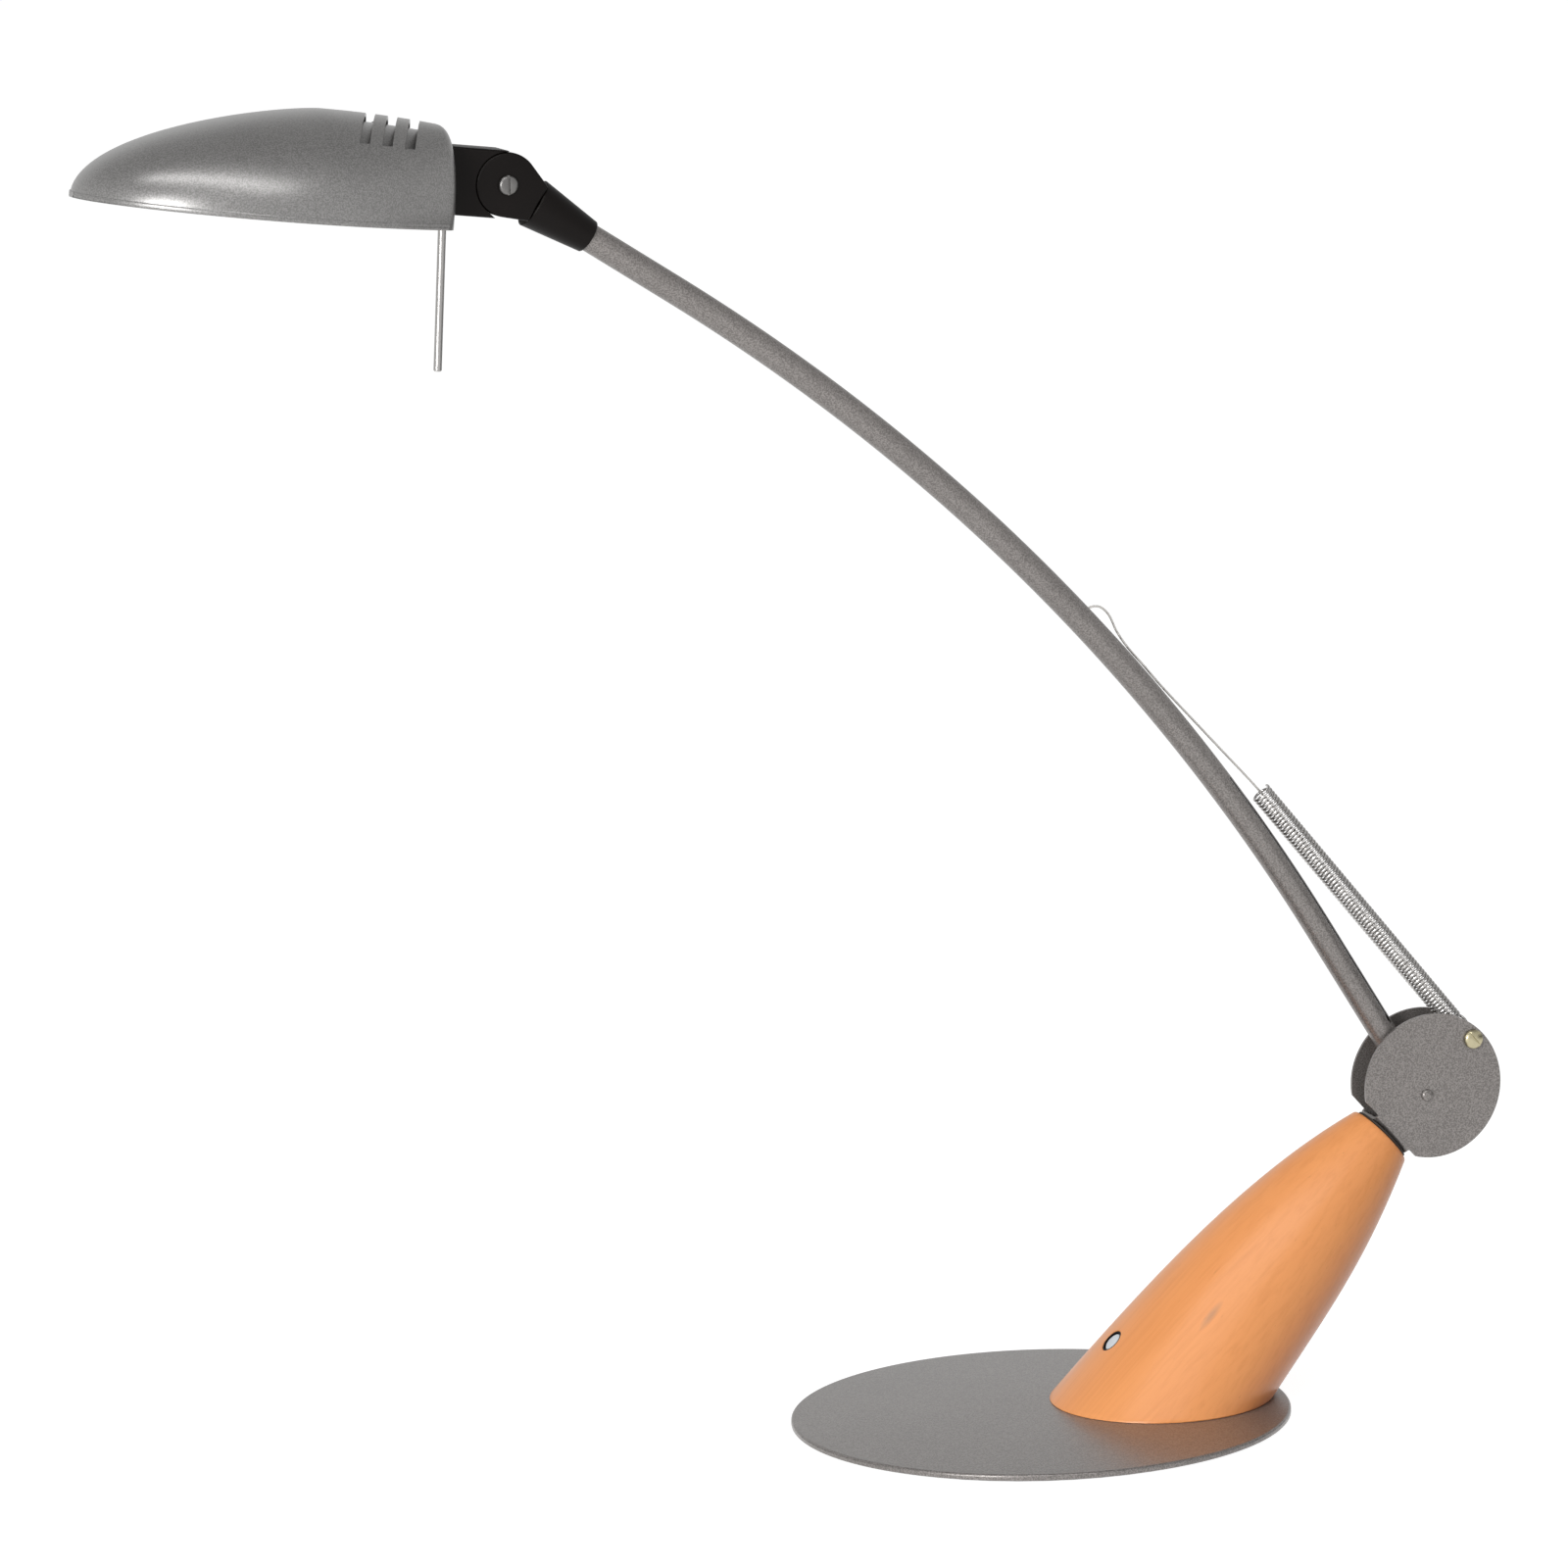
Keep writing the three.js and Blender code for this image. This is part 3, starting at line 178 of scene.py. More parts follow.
# Arm and cable
ARM_LEAN = math.radians(59.2)
ARM_BOW = math.radians(25.4)
ARM_LOWER = 82
ARM_BOW_RADIUS = 864
ARM_UPPER = 40.8
ARM_START = 14
ARM_INSERTION = 14
ARM_STEPS = 96
SLOT = (33, 158)
SLOT_WIDTH = 1.4
SLOT_REACH = 11
SLOT_OFFSET = 3.1
SLOT_SKEW = math.radians(13)
SLOT_STEPS = 40
CABLE_HOLE = 249.5
CABLE_HOLE_RADIUS = 0.9
CABLE_LOOP_HEIGHT = 4
CABLE_LOOP = 23
CABLE_LOOP_SHOULDER = 0.85
CABLE_TOUCH = 21
CABLE_TAIL = 22
CABLE_STEPS = 10

# Spring
SPRING_LEAN = math.radians(38.8)
SPRING_TOP = 140
SPRING_START = 8.6
ROLLER_RADIUS = 3.1
HOOK_TURN = 1.45 * math.pi
HOOK_STEPS = 40
CURL_STEPS = 24
LEAD_IN = (3, 6, 9)
LEAD_STEPS = 6

# Joint under the shade
KNUCKLE_REACH = 40.8
SLEEVE_AT = 14.7
SLEEVE_RADIUS = 9.8
SLEEVE_END_RADIUS = 6.6
SLEEVE_BORE = 5.3
SLEEVE_TUBE_BORE = 5.8
SLEEVE_NUT_BORE = 6.9
SLEEVE_EDGE = 0.4
SLEEVE_END_EDGE = 0.3
BULKHEAD = 6
NUT_HEIGHT = 3
NUT_ROOM = 1
NECK_STUB = 5
NECK_THREAD = 4
KNUCKLE_RADIUS = 12.4
NECK_HALF = 9.3
NECK_END_HALF = 7.6
NECK_STEPS = 48
FORK_HALF = 5.3
FORK_REACH = 15
PIN_REACH = 12
TONGUE_HALF = 4
TONGUE_RADIUS = 10.3
TONGUE_NECK = 5.5
JOINT_EDGE = 0.9
SLEEVE_SOFTNESS = 0.2
NECK_SOFTNESS = 0.12
BRACKET_SOFTNESS = 0.1
NOSE_DOWN = math.radians(30)
NECK_TILT = ARM_LEAN - ARM_BOW
BRACKET_HALF = 13
BRACKET_SCREWS = ((-6, 9), (6, 9))
BRACKET_HOLE = 1.7
BRACKET_HOLE_DEPTH = 4.8

# Shade
SHADE_TILT = math.radians(7.8)
SHADE_REAR = -24.4
SHADE_RIM = -17.5
SHADE_REAR_ROUND = 3.5
SHADE_CREST = 48.8
SHADE_WIDEST = 66.9
NOSE_END = 0.999
REAR_STEPS = 6
FINE_DOME = (40, 72)
COARSE_DOME = (28, 48)
RIM_SAG = 0.2
RIM_INSIDE = -0.5
RIM_FLAT = 0.2
RIM_OUTSIDE = 0.36
RIM_LOWER_EDGE = 0.25
RIM_UPPER_EDGE = 0.3
FRONT_POWER = 1.34
SECTION_POWER = 2.2
REAR_FALL = 0.067
VENT_FIRST = 15
VENT_PITCH = 8.8
VENT_DEPTH = 10
VENT_SLANT = 0.32
VENT_SHIFT = 3.2
VENT_TURN = 16
VENT_STEP = 4
VENT_STEPS = 12
SHIELD_INSET = 3.3
SHIELD_WALL = 0.7
SHIELD_SPAN = (9, 43)
REFLECTOR_HEIGHT = 30
REFLECTOR_WALL = 0.8
REFLECTOR_REAR = 44.4
REFLECTOR_LIFT = 4

# Bulb; its foot's rows are (radius, distance before its end)
HOLDER_FRONT = -49.7
BULB_DROP = 6.3
BULB_LENGTH = 24
BULB_RADIUS = 4.6
BULB_STEPS = 12
BULB_FOOT = ((4.6, 1), (4.3, 0.3), (3.6, 0), (2.3, 0))
BULB_STEM = 5
FILAMENT_AT = 15
FILAMENT_RADIUS = 0.7
FILAMENT_WIRE = 0.13
FILAMENT_STEP = 0.06
FILAMENT_CURLS = 12
FILAMENT_CURL_STEPS = 8
STAY_SIDE = 2.9
STAY_FOOT_SHARE = 0.55
STAY_FOOT = 1
STAY_BEND = 6
STAY_RADIUS = 0.22
STAY_STEPS = 6

# Handle rod
ROD_X = -21.7
ROD_LEAN = math.radians(3.5)
ROD_END_EDGE = 0.4
ROD_TOP_EDGE = 0.2
ROD_THREAD = 1.1
ROD_THREAD_LENGTH = 4

ALONG_X = Matrix.Rotation(QUARTER, 4, "Y")
ALONG_Y = Matrix.Rotation(QUARTER, 4, "X")


# Sizes and colours that a user may change


def length(name, description, default):
    return FloatProperty(
        name=name,
        description=description,
        default=default * MM,
        min=0.0,
        unit="LENGTH",
        precision=5,
    )


def colour(name, description, default):
    return FloatVectorProperty(
        name=name,
        description=description,
        default=default,
        min=0.0,
        max=1.0,
        size=3,
        subtype="COLOR",
    )


class LampBaseSizes(bpy.types.PropertyGroup):
    plate_radius: length("Plate radius", "Radius of the round base plate", 100)
    plate_thickness: length("Plate thickness", "Thickness of the base plate", 2.5)
    pad_thickness: length("Pad thickness", "Thickness of the rubber pad below", 0.8)
    edge_round: length("Edge round", "Round along the plate's upper edge", 1)
    button_radius: length("Button radius", "Radius of the push button", 4)
    button_sink: length("Button sink", "How far the button lies below the wood", 0.5)


class LampArmSizes(bpy.types.PropertyGroup):
    tube_radius: length("Tube radius", "Outer radius of the arm's tube", 5.5)
    tube_wall: length("Tube wall", "Wall of the arm's tube", 1.2)
    cable_radius: length("Cable radius", "Radius of the cable with its coat", 0.5)
    core_radius: length("Core radius", "Radius of the steel core in the cable", 0.3)
    coil_radius: length("Coil radius", "Radius of the spring at its wire's middle", 3.9)
    wire_radius: length("Wire radius", "Radius of the spring's wire", 0.55)
    curls: IntProperty(
        name="Curls", description="Turns of the balance spring", default=76, min=3
    )


class LampShadeSizes(bpy.types.PropertyGroup):
    shade_length: length("Length", "Length of the shade", 142.1)
    shade_height: length("Height", "Height of the shade above its rim", 40.4)
    half_width: length("Half width", "Half of the shade's greatest width", 48.3)
    rear_half_width: length("Rear half width", "Half width at the rear", 27.9)
    wall: length("Wall", "Thickness of the shade's sheet", 1.4)
    vent_width: length("Vent width", "Width of each vent slot", 4)
    rim_height: length("Rim height", "Height of the rolled rim", 2.2)
    rod_radius: length("Rod radius", "Radius of the handle rod", 1.6)
    rod_drop: length("Rod drop", "How far the handle hangs below the rim", 56)
    vents: IntProperty(name="Vents", description="Vent slots", default=3, min=0, max=6)


class LampColours(bpy.types.PropertyGroup):
    paint: colour("Paint", "Metallic paint of plate, yoke and arm", (0.31, 0.288, 0.275))
    grain: colour("Paint grain", "Darker grain of the paint", (0.17, 0.156, 0.148))
    shade: colour("Shade paint", "Metallic paint of the shade", (0.31, 0.304, 0.298))
    wood: colour("Wood", "Main tone of the beech", (0.86, 0.345, 0.115))
    wood_dark: colour("Wood grain", "Darker tone of the grain", (0.79, 0.305, 0.095))
    plastic: colour("Black plastic", "Joint under the shade", (0.005, 0.0035, 0.003))
    rubber: colour("Rubber", "Pad and inlet", (0.015, 0.015, 0.017))
    steel: colour("Steel", "Plated steel", (0.6, 0.585, 0.57))
    zinc: colour("Zinc", "Yellowish zinc", (0.55, 0.5, 0.33))
    button: colour("Button", "Push button", (0.72, 0.76, 0.8))


# Meshes


def new_object(name, points, faces, place=None):
    matrix = place or Matrix()
    mesh = bpy.data.meshes.new(name)
    mesh.from_pydata([(matrix @ Vector(p)) * MM for p in points], [], faces)
    shape = bmesh.new()
    shape.from_mesh(mesh)
    bmesh.ops.recalc_face_normals(shape, faces=shape.faces)
    shape.to_mesh(mesh)
    shape.free()
    piece = bpy.data.objects.new(name, mesh)
    bpy.context.scene.collection.objects.link(piece)
    return piece


def softened(outline, radius, steps=4):
    """The outline with each corner off the axis turned into a small round."""
    result = [outline[0]]
    for before, corner, after in zip(outline, outline[1:], outline[2:]):
        at, back, on = Vector(corner), Vector(before), Vector(after)
        reach_back = min(radius, (back - at).length * CORNER_SHARE)
        reach_on = min(radius, (on - at).length * CORNER_SHARE)
        start = at + (back - at).normalized() * reach_back
        end = at + (on - at).normalized() * reach_on
        for i in range(steps + 1):
            t = i / steps
            point = start * (1 - t) ** 2 + at * 2 * t * (1 - t) + end * t**2
            result.append((point.x, point.y))
    result.append(outline[-1])
    return result


def lathe(name, outline, place=None, sides=ROUND):
    """Turns (radius, height) pairs about Z; a closed outline repeats its first pair."""
    closed = tuple(outline[0]) == tuple(outline[-1])
    rows = outline[:-1] if closed else outline
    points, rings = [], []
    for radius, height in rows:
        count = 1 if radius == 0 else sides
        rings.append([len(points) + i for i in range(count)])
        for i in range(count):
            turn = i / count * math.tau
            points.append((radius * math.cos(turn), radius * math.sin(turn), height))
    faces = []
    for low, high in zip(rings, rings[1:] + rings[:1] if closed else rings[1:]):
        for i in range(sides):
            k = (i + 1) % sides
            corners = (low[i % len(low)], low[k % len(low)], high[k % len(high)], high[i % len(high)])
            face = list(dict.fromkeys(corners))
            if len(face) > 2:
                faces.append(face)
    return new_object(name, points, faces, place)


def rod(radius, low, high, place=None, sides=SMALL_ROUND):
    return lathe("cutter", [(0, low), (radius, low), (radius, high), (0, high)], place, sides)


def loft(name, rings, place=None, closed=False):
    """Skin over a row of equal rings, with flat ends unless the row is closed."""
    count = len(rings[0])
    points = [point for ring in rings for point in ring]
    faces = []
    rows = len(rings)
    for r in range(rows if closed else rows - 1):
        low, high = r * count, (r + 1) % rows * count
        for i in range(count):
            k = (i + 1) % count
            faces.append((low + i, low + k, high + k, high + i))
    if not closed:
        faces.append(tuple(range(count))[::-1])
        faces.append(tuple((rows - 1) * count + i for i in range(count)))
    return new_object(name, points, faces, place)


def block(x0, x1, y0, y1, z0, z1, place=None):
    low = [(x0, y0, z0), (x1, y0, z0), (x1, y1, z0), (x0, y1, z0)]
    high = [(x0, y0, z1), (x1, y0, z1), (x1, y1, z1), (x0, y1, z1)]
    return loft("cutter", [low, high], place)


def prism(name, outline, half, place=None, edge=0):
    """An outline in x and z, as thick as 2 * half along y, its rims rounded by edge."""
    low = [(x, -half, z) for x, z in outline]
    high = [(x, half, z) for x, z in outline]
    piece = loft(name, [low, high], place)
    if edge:
        shape = bmesh.new()
        shape.from_mesh(piece.data)
        rims = [e for e in shape.edges if any(len(f.verts) > 4 for f in e.link_faces)]
        bmesh.ops.bevel(shape, geom=rims, offset=edge * MM, segments=3, profile=0.5, affect="EDGES")
        shape.to_mesh(piece.data)
        shape.free()
    return piece


def tube(name, path, radius, sides, place=None, first=Vector((0, 1, 0))):
    """A round wire through the points of path."""
    rings = []
    normal = first.copy()
    for i, point in enumerate(path):
        along = (path[min(i + 1, len(path) - 1)] - path[max(i - 1, 0)]).normalized()
        normal = (normal - along * normal.dot(along)).normalized()
        side = along.cross(normal)
        ring = []
        for k in range(sides):
            turn = k / sides * math.tau
            ring.append(point + (normal * math.cos(turn) + side * math.sin(turn)) * radius)
        rings.append(ring)
    return loft(name, rings, place)


def smooth_through(points, steps):
    """A centripetal curve through the points, steps to a span."""
    ends = [points[0] * 2 - points[1], *points, points[-1] * 2 - points[-2]]
    result = []
    for a, b, c, d in zip(ends, ends[1:], ends[2:], ends[3:]):
        times = [0]
        for start, end in ((a, b), (b, c), (c, d)):
            times.append(times[-1] + max((end - start).length, 1e-6) ** 0.5)
        t0, t1, t2, t3 = times
        for i in range(steps):
            t = t1 + (t2 - t1) * i / steps
            ab = a * ((t1 - t) / (t1 - t0)) + b * ((t - t0) / (t1 - t0))
            bc = b * ((t2 - t) / (t2 - t1)) + c * ((t - t1) / (t2 - t1))
            cd = c * ((t3 - t) / (t3 - t2)) + d * ((t - t2) / (t3 - t2))
            abc = ab * ((t2 - t) / (t2 - t0)) + bc * ((t - t0) / (t2 - t0))
            bcd = bc * ((t3 - t) / (t3 - t1)) + cd * ((t - t1) / (t3 - t1))
            result.append(abc * ((t2 - t) / (t2 - t1)) + bcd * ((t - t1) / (t2 - t1)))
    result.append(points[-1])
    return result


def apply_modifiers(piece):
    evaluated = piece.evaluated_get(bpy.context.evaluated_depsgraph_get())
    mesh = bpy.data.meshes.new_from_object(evaluated)
    old = piece.data
    piece.modifiers.clear()
    piece.data = mesh
    bpy.data.meshes.remove(old)


def combine(piece, how, *others):
    """Joins, cuts or intersects piece with the others, which are used up."""
    for other in others:
        modifier = piece.modifiers.new("Combine", "BOOLEAN")
        modifier.operation = how
        modifier.object = other
        modifier.solver = "MANIFOLD"
        bpy.context.view_layer.update()
        apply_modifiers(piece)
        mesh = other.data
        bpy.data.objects.remove(other)
        bpy.data.meshes.remove(mesh)
    if not piece.data.polygons:
        raise RuntimeError(f"{piece.name} is empty after its cuts")
    return piece


def round_edges(piece, width, angle=EDGE_ANGLE, segments=3):
    modifier = piece.modifiers.new("Round edges", "BEVEL")
    modifier.width = width * MM
    modifier.segments = segments
    modifier.limit_method = "ANGLE"
    modifier.angle_limit = math.radians(angle)
    apply_modifiers(piece)
    return piece


def finish_piece(piece, name, body, slot, material, *nodes):
    """Names, shades and paints a piece, and sets what it rides on and stands for."""
    piece.name = name
    piece.data.name = name
    piece.data.polygons.foreach_set("use_smooth", [True] * len(piece.data.polygons))
    piece.data.set_sharp_from_angle(angle=SMOOTH_BELOW)
    piece.data.materials.clear()
    piece.data.materials.append(material)
    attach(piece, body)
    if nodes:
        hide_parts(*nodes)
    return piece


def smooth_by_angle():
    """A node group that smooths faces and keeps edges over the angle sharp."""
    name = "Smooth by angle"
    if name in bpy.data.node_groups:
        return bpy.data.node_groups[name]
    group = bpy.data.node_groups.new(name, "GeometryNodeTree")
    group.interface.new_socket("Geometry", in_out="INPUT", socket_type="NodeSocketGeometry")
    group.interface.new_socket("Geometry", in_out="OUTPUT", socket_type="NodeSocketGeometry")
    start = group.nodes.new("NodeGroupInput")
    end = group.nodes.new("NodeGroupOutput")
    faces = group.nodes.new("GeometryNodeSetShadeSmooth")
    edges = group.nodes.new("GeometryNodeSetShadeSmooth")
    edges.domain = "EDGE"
    edges.inputs["Shade Smooth"].default_value = False
    angle = group.nodes.new("GeometryNodeInputMeshEdgeAngle")
    over = group.nodes.new("FunctionNodeCompare")
    over.operation = "GREATER_THAN"
    over.inputs["B"].default_value = SMOOTH_BELOW
    group.links.new(start.outputs[0], faces.inputs["Geometry"])
    group.links.new(faces.outputs[0], edges.inputs["Geometry"])
    group.links.new(angle.outputs["Unsigned Angle"], over.inputs["A"])
    group.links.new(over.outputs[0], edges.inputs["Selection"])
    group.links.new(edges.outputs[0], end.inputs[0])
    return group


def dress(node_name, material, edge=0.0):
    """Gives a carried-over solid its finish, softer edges and smooth rounds."""
    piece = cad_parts[node_name]
    piece.data.materials.clear()
    piece.data.materials.append(material)
    weld = piece.modifiers.new("Weld", "WELD")
    weld.merge_threshold = WELD_REACH * MM
    if edge:
        flat = piece.modifiers.new("Merge flats", "DECIMATE")
        flat.decimate_type = "DISSOLVE"
        flat.angle_limit = FLAT_BELOW
        bevel = piece.modifiers.new("Round edges", "BEVEL")
        bevel.width = edge * MM
        bevel.segments = 2
        bevel.limit_method = "ANGLE"
        bevel.angle_limit = math.radians(EDGE_ANGLE)
    smooth = piece.modifiers.new("Smooth", "NODES")
    smooth.node_group = smooth_by_angle()


# Materials


def add(tree, kind, inputs=None, **settings):
    """A node with its settings, each input a value or another node's output."""
    made = tree.nodes.new(kind)
    for key, value in settings.items():
        setattr(made, key, value)
    for key, value in (inputs or {}).items():
        if isinstance(value, bpy.types.NodeSocket):
            tree.links.new(value, made.inputs[key])
        else:
            made.inputs[key].default_value = value
    return made


def material_named(name, **sockets):
    """A new finish and its tree, or the one made before and no tree."""
    made = bpy.data.materials.get(f"lamp_{name}")
    if made:
        return made, None, None
    made = bpy.data.materials.new(f"lamp_{name}")
    made.use_nodes = True
    shader = made.node_tree.nodes["Principled BSDF"]
    for key, value in sockets.items():
        shader.inputs[key.replace("_", " ").title().replace("Ior", "IOR")].default_value = value
    return made, made.node_tree, shader


def place_in(tree, scale=(1, 1, 1), tilt=0.0):
    """The piece's own coordinates, turned back by tilt about Y and stretched by scale."""
    at = add(tree, "ShaderNodeTexCoord").outputs["Object"]
    if tilt:
        turned = {"Vector": at, "Angle": -tilt}
        at = add(tree, "ShaderNodeVectorRotate", turned, rotation_type="Y_AXIS").outputs[0]
    return add(tree, "ShaderNodeMapping", {"Vector": at, "Scale": scale}).outputs[0]


def noise(tree, at, scale, detail=3.0, roughness=0.5, distortion=0.0):
    inputs = {
        "Vector": at,
        "Scale": scale,
        "Detail": detail,
        "Roughness": roughness,
        "Distortion": distortion,
    }
    return add(tree, "ShaderNodeTexNoise", inputs).outputs[0]


def ramp(tree, factor, *stops):
    """A colour ramp; each stop is a place and a colour."""
    made = add(tree, "ShaderNodeValToRGB", {"Fac": factor})
    elements = made.color_ramp.elements
    while len(elements) < len(stops):
        elements.new(0.5)
    for element, (place, tone) in zip(elements, stops):
        element.position = place
        element.color = (*tone, 1)
    return made.outputs[0]


def grey_ramp(tree, factor, stops):
    return ramp(tree, factor, *((place, (tone,) * 3) for place, tone in stops))


def mix(tree, factor, a, b, how="MIX"):
    made = tree.nodes.new("ShaderNodeMix")
    made.data_type = "RGBA"
    made.blend_type = how
    for index, value in ((0, factor), (6, a), (7, b)):
        if isinstance(value, bpy.types.NodeSocket):
            tree.links.new(value, made.inputs[index])
        else:
            made.inputs[index].default_value = value if index == 0 else (*value, 1)
    return made.outputs[2]


def bump(tree, shader, height, strength, depth):
    inputs = {"Height": height, "Strength": strength, "Distance": depth * MM}
    tree.links.new(add(tree, "ShaderNodeBump", inputs).outputs[0], shader.inputs["Normal"])


def vary_gloss(tree, shader, factor, low, high):
    inputs = {"Value": factor, "To Min": low, "To Max": high}
    tree.links.new(add(tree, "ShaderNodeMapRange", inputs).outputs[0], shader.inputs["Roughness"])


def grey(tone):
    return (tone, tone, tone, 1)


def shaded(tone, share):
    return tuple(share * value for value in tone)


def colours():
    return bpy.context.scene.lamp_colours


PAINT_GRAIN = 1700


def grained_paint(name, light, dark, roughness, metallic):
    """Metallic paint: fine two-tone grain, a slight cloud and a pebbled skin."""
    made, tree, shader = material_named(
        name, roughness=roughness, metallic=metallic, coat_weight=0.15, coat_roughness=0.16
    )
    if tree is None:
        return made
    at = place_in(tree)
    grain = noise(tree, at, PAINT_GRAIN, detail=2.0, roughness=0.6)
    fine = ramp(tree, grain, (0.4, dark), (0.6, light))
    cloud = grey_ramp(tree, noise(tree, at, 22), ((0.3, 0.93), (0.7, 1.0)))
    tree.links.new(mix(tree, 1.0, fine, cloud, "MULTIPLY"), shader.inputs["Base Color"])
    vary_gloss(tree, shader, grain, roughness - 0.06, roughness + 0.08)
    bump(tree, shader, noise(tree, at, PAINT_GRAIN, detail=1.0), strength=0.2, depth=0.03)
    return made


def paint():
    light, dark = tuple(colours().paint), tuple(colours().grain)
    return grained_paint("grey_metallic_paint", light, dark, roughness=0.34, metallic=0.55)


def shade_paint():
    tone = tuple(colours().shade)
    return grained_paint("shade_paint", tone, shaded(tone, 0.66), roughness=0.32, metallic=0.6)


# The wood's stretched patterns, its painted shade that darkens and reddens the right side, and its one
# small dark streak
LONG_GRAIN = (520, 520, 13)
TONE_BANDS = (34, 34, 5)
BAND_TONES = ((0.35, (0.95, 0.92, 0.89)), (0.65, (1.0, 1.0, 1.0)))
SHORT_FLECKS = (1500, 1500, 150)
FLECK_STOPS = ((0.73, 0.0), (0.84, 0.7))
PAINTED_SHADE_TINT = (0.88, 0.74, 0.82)
PAINTED_SHADE_FROM = 0.038
PAINTED_SHADE_TO = 0.068
STREAK = (0.33, 0.2, 0.14)
STREAK_PLACE = (0.0149, -0.0288, 0.0738)
STREAK_SIZE = (0.0016, 0.004, 0.0085)
STREAK_STOPS = ((0.2, 0.45), (1.0, 0.0))


def beech():
    """Lacquered beech: long grain, broad tone bands, short flecks, one dark streak and painted shade on its
    right side.
    """
    made, tree, shader = material_named(
        "beech", roughness=0.42, specular_ior_level=0.35, coat_weight=0.34, coat_roughness=0.27
    )
    if tree is None:
        return made
    light, dark = tuple(colours().wood), tuple(colours().wood_dark)
    fibres = place_in(tree, LONG_GRAIN, FOOT_AXIS_TILT)
    grain = noise(tree, fibres, 1.0, detail=6.0, roughness=0.62, distortion=0.35)
    tone = ramp(tree, grain, (0.25, dark), (0.55, light))
    bands = noise(tree, place_in(tree, TONE_BANDS, FOOT_AXIS_TILT), 1.0, distortion=0.8)
    tone = mix(tree, 0.8, tone, ramp(tree, bands, *BAND_TONES), "MULTIPLY")
    flecks = noise(tree, place_in(tree, SHORT_FLECKS, FOOT_AXIS_TILT), 1.0, detail=1.0)
    tone = mix(tree, grey_ramp(tree, flecks, FLECK_STOPS), tone, shaded(dark, 0.75))
    # Painted shade: across the foot, the side away from the lamps is multiplied darker and redder
    along = place_in(tree, tilt=FOOT_AXIS_TILT)
    across = add(tree, "ShaderNodeSeparateXYZ", {0: along}).outputs["X"]
    limits = {"Value": across, "From Min": PAINTED_SHADE_FROM, "From Max": PAINTED_SHADE_TO}
    painted_shade = add(tree, "ShaderNodeMapRange", limits).outputs[0]
    tone = mix(tree, painted_shade, tone, PAINTED_SHADE_TINT, "MULTIPLY")
    scale = tuple(1 / size for size in STREAK_SIZE)
    shift = tuple(-place / size for place, size in zip(STREAK_PLACE, STREAK_SIZE))
    near = add(tree, "ShaderNodeMapping", {"Vector": along, "Location": shift, "Scale": scale}).outputs[0]
    distance = add(tree, "ShaderNodeVectorMath", {0: near}, operation="LENGTH").outputs["Value"]
    tone = mix(tree, grey_ramp(tree, distance, STREAK_STOPS), tone, STREAK)
    tree.links.new(tone, shader.inputs["Base Color"])
    bump(tree, shader, grain, strength=0.12, depth=0.15)
    return made


def moulded(name, tone, roughness, grain=900, strength=0.25, gloss=0.5):
    """Moulded plastic or rubber with a fine texture."""
    made, tree, shader = material_named(name, roughness=roughness, specular_ior_level=gloss)
    if tree is None:
        return made
    at = place_in(tree)
    cloud = noise(tree, at, 60, detail=2.0)
    mottled = ramp(tree, cloud, (0.35, shaded(tone, 0.85)), (0.65, tone))
    tree.links.new(mottled, shader.inputs["Base Color"])
    bump(tree, shader, noise(tree, at, grain, detail=2.0), strength, depth=0.04)
    return made


def black_plastic():
    return moulded("black_plastic", tuple(colours().plastic), roughness=0.42, gloss=0.14)


def rubber():
    return moulded("pad_rubber", tuple(colours().rubber), 0.7, grain=1200, strength=0.3, gloss=0.2)


def fibre():
    return moulded("fibre", (0.03, 0.025, 0.02), 0.75, grain=1500, strength=0.4)


def ceramic():
    return moulded("ceramic", (0.76, 0.73, 0.66), 0.55, grain=1100, strength=0.2)


def button_plastic():
    return moulded("button_plastic", tuple(colours().button), 0.25, grain=400, strength=0.05)


def bare_metal(name, tone, roughness, stretch=(300, 300, 300), spread=0.1, strength=0.1):
    """Plated or rolled metal whose gloss varies along its drawing marks."""
    made, tree, shader = material_named(name, roughness=roughness, metallic=1.0)
    if tree is None:
        return made
    marks = noise(tree, place_in(tree, stretch), 1.0, detail=4.0, roughness=0.6)
    mottled = ramp(tree, marks, (0.3, shaded(tone, 0.86)), (0.7, tone))
    tree.links.new(mottled, shader.inputs["Base Color"])
    vary_gloss(tree, shader, marks, roughness - spread / 2, roughness + spread)
    bump(tree, shader, marks, strength, depth=0.02)
    return made


def steel():
    return bare_metal("steel", tuple(colours().steel), 0.2)


def dull_steel():
    return bare_metal("dull_steel", shaded(colours().steel, 0.32), 0.38)


def drawn_steel():
    tone = shaded(colours().steel, 0.75)
    return bare_metal("drawn_steel", tone, 0.3, (300, 300, 8), spread=0.0, strength=0.0)


def zinc():
    return bare_metal("yellow_zinc", tuple(colours().zinc), 0.28)


def aluminium():
    return bare_metal("bright_aluminium", (0.82, 0.82, 0.81), 0.18, (40, 900, 900), spread=0.15)


def clear(name, tone, roughness):
    """Clear glass or cable coat, with faint streaks in its gloss."""
    made, tree, shader = material_named(
        name, base_color=(*tone, 1), transmission_weight=1.0, ior=1.45, roughness=roughness
    )
    if tree is None:
        return made
    streaks = noise(tree, place_in(tree), 400, detail=2.0)
    vary_gloss(tree, shader, streaks, roughness, roughness + 0.08)
    return made


def bulb_glass():
    return clear("bulb_glass", (0.97, 0.98, 0.98), 0.02)


def cable_coat():
    return clear("cable_coat", (0.93, 0.92, 0.9), 0.12)


# Places on the foot, the arm and the joint


def plate_top():
    base = bpy.context.scene.lamp_base
    return (base.pad_thickness + base.plate_thickness) / MM


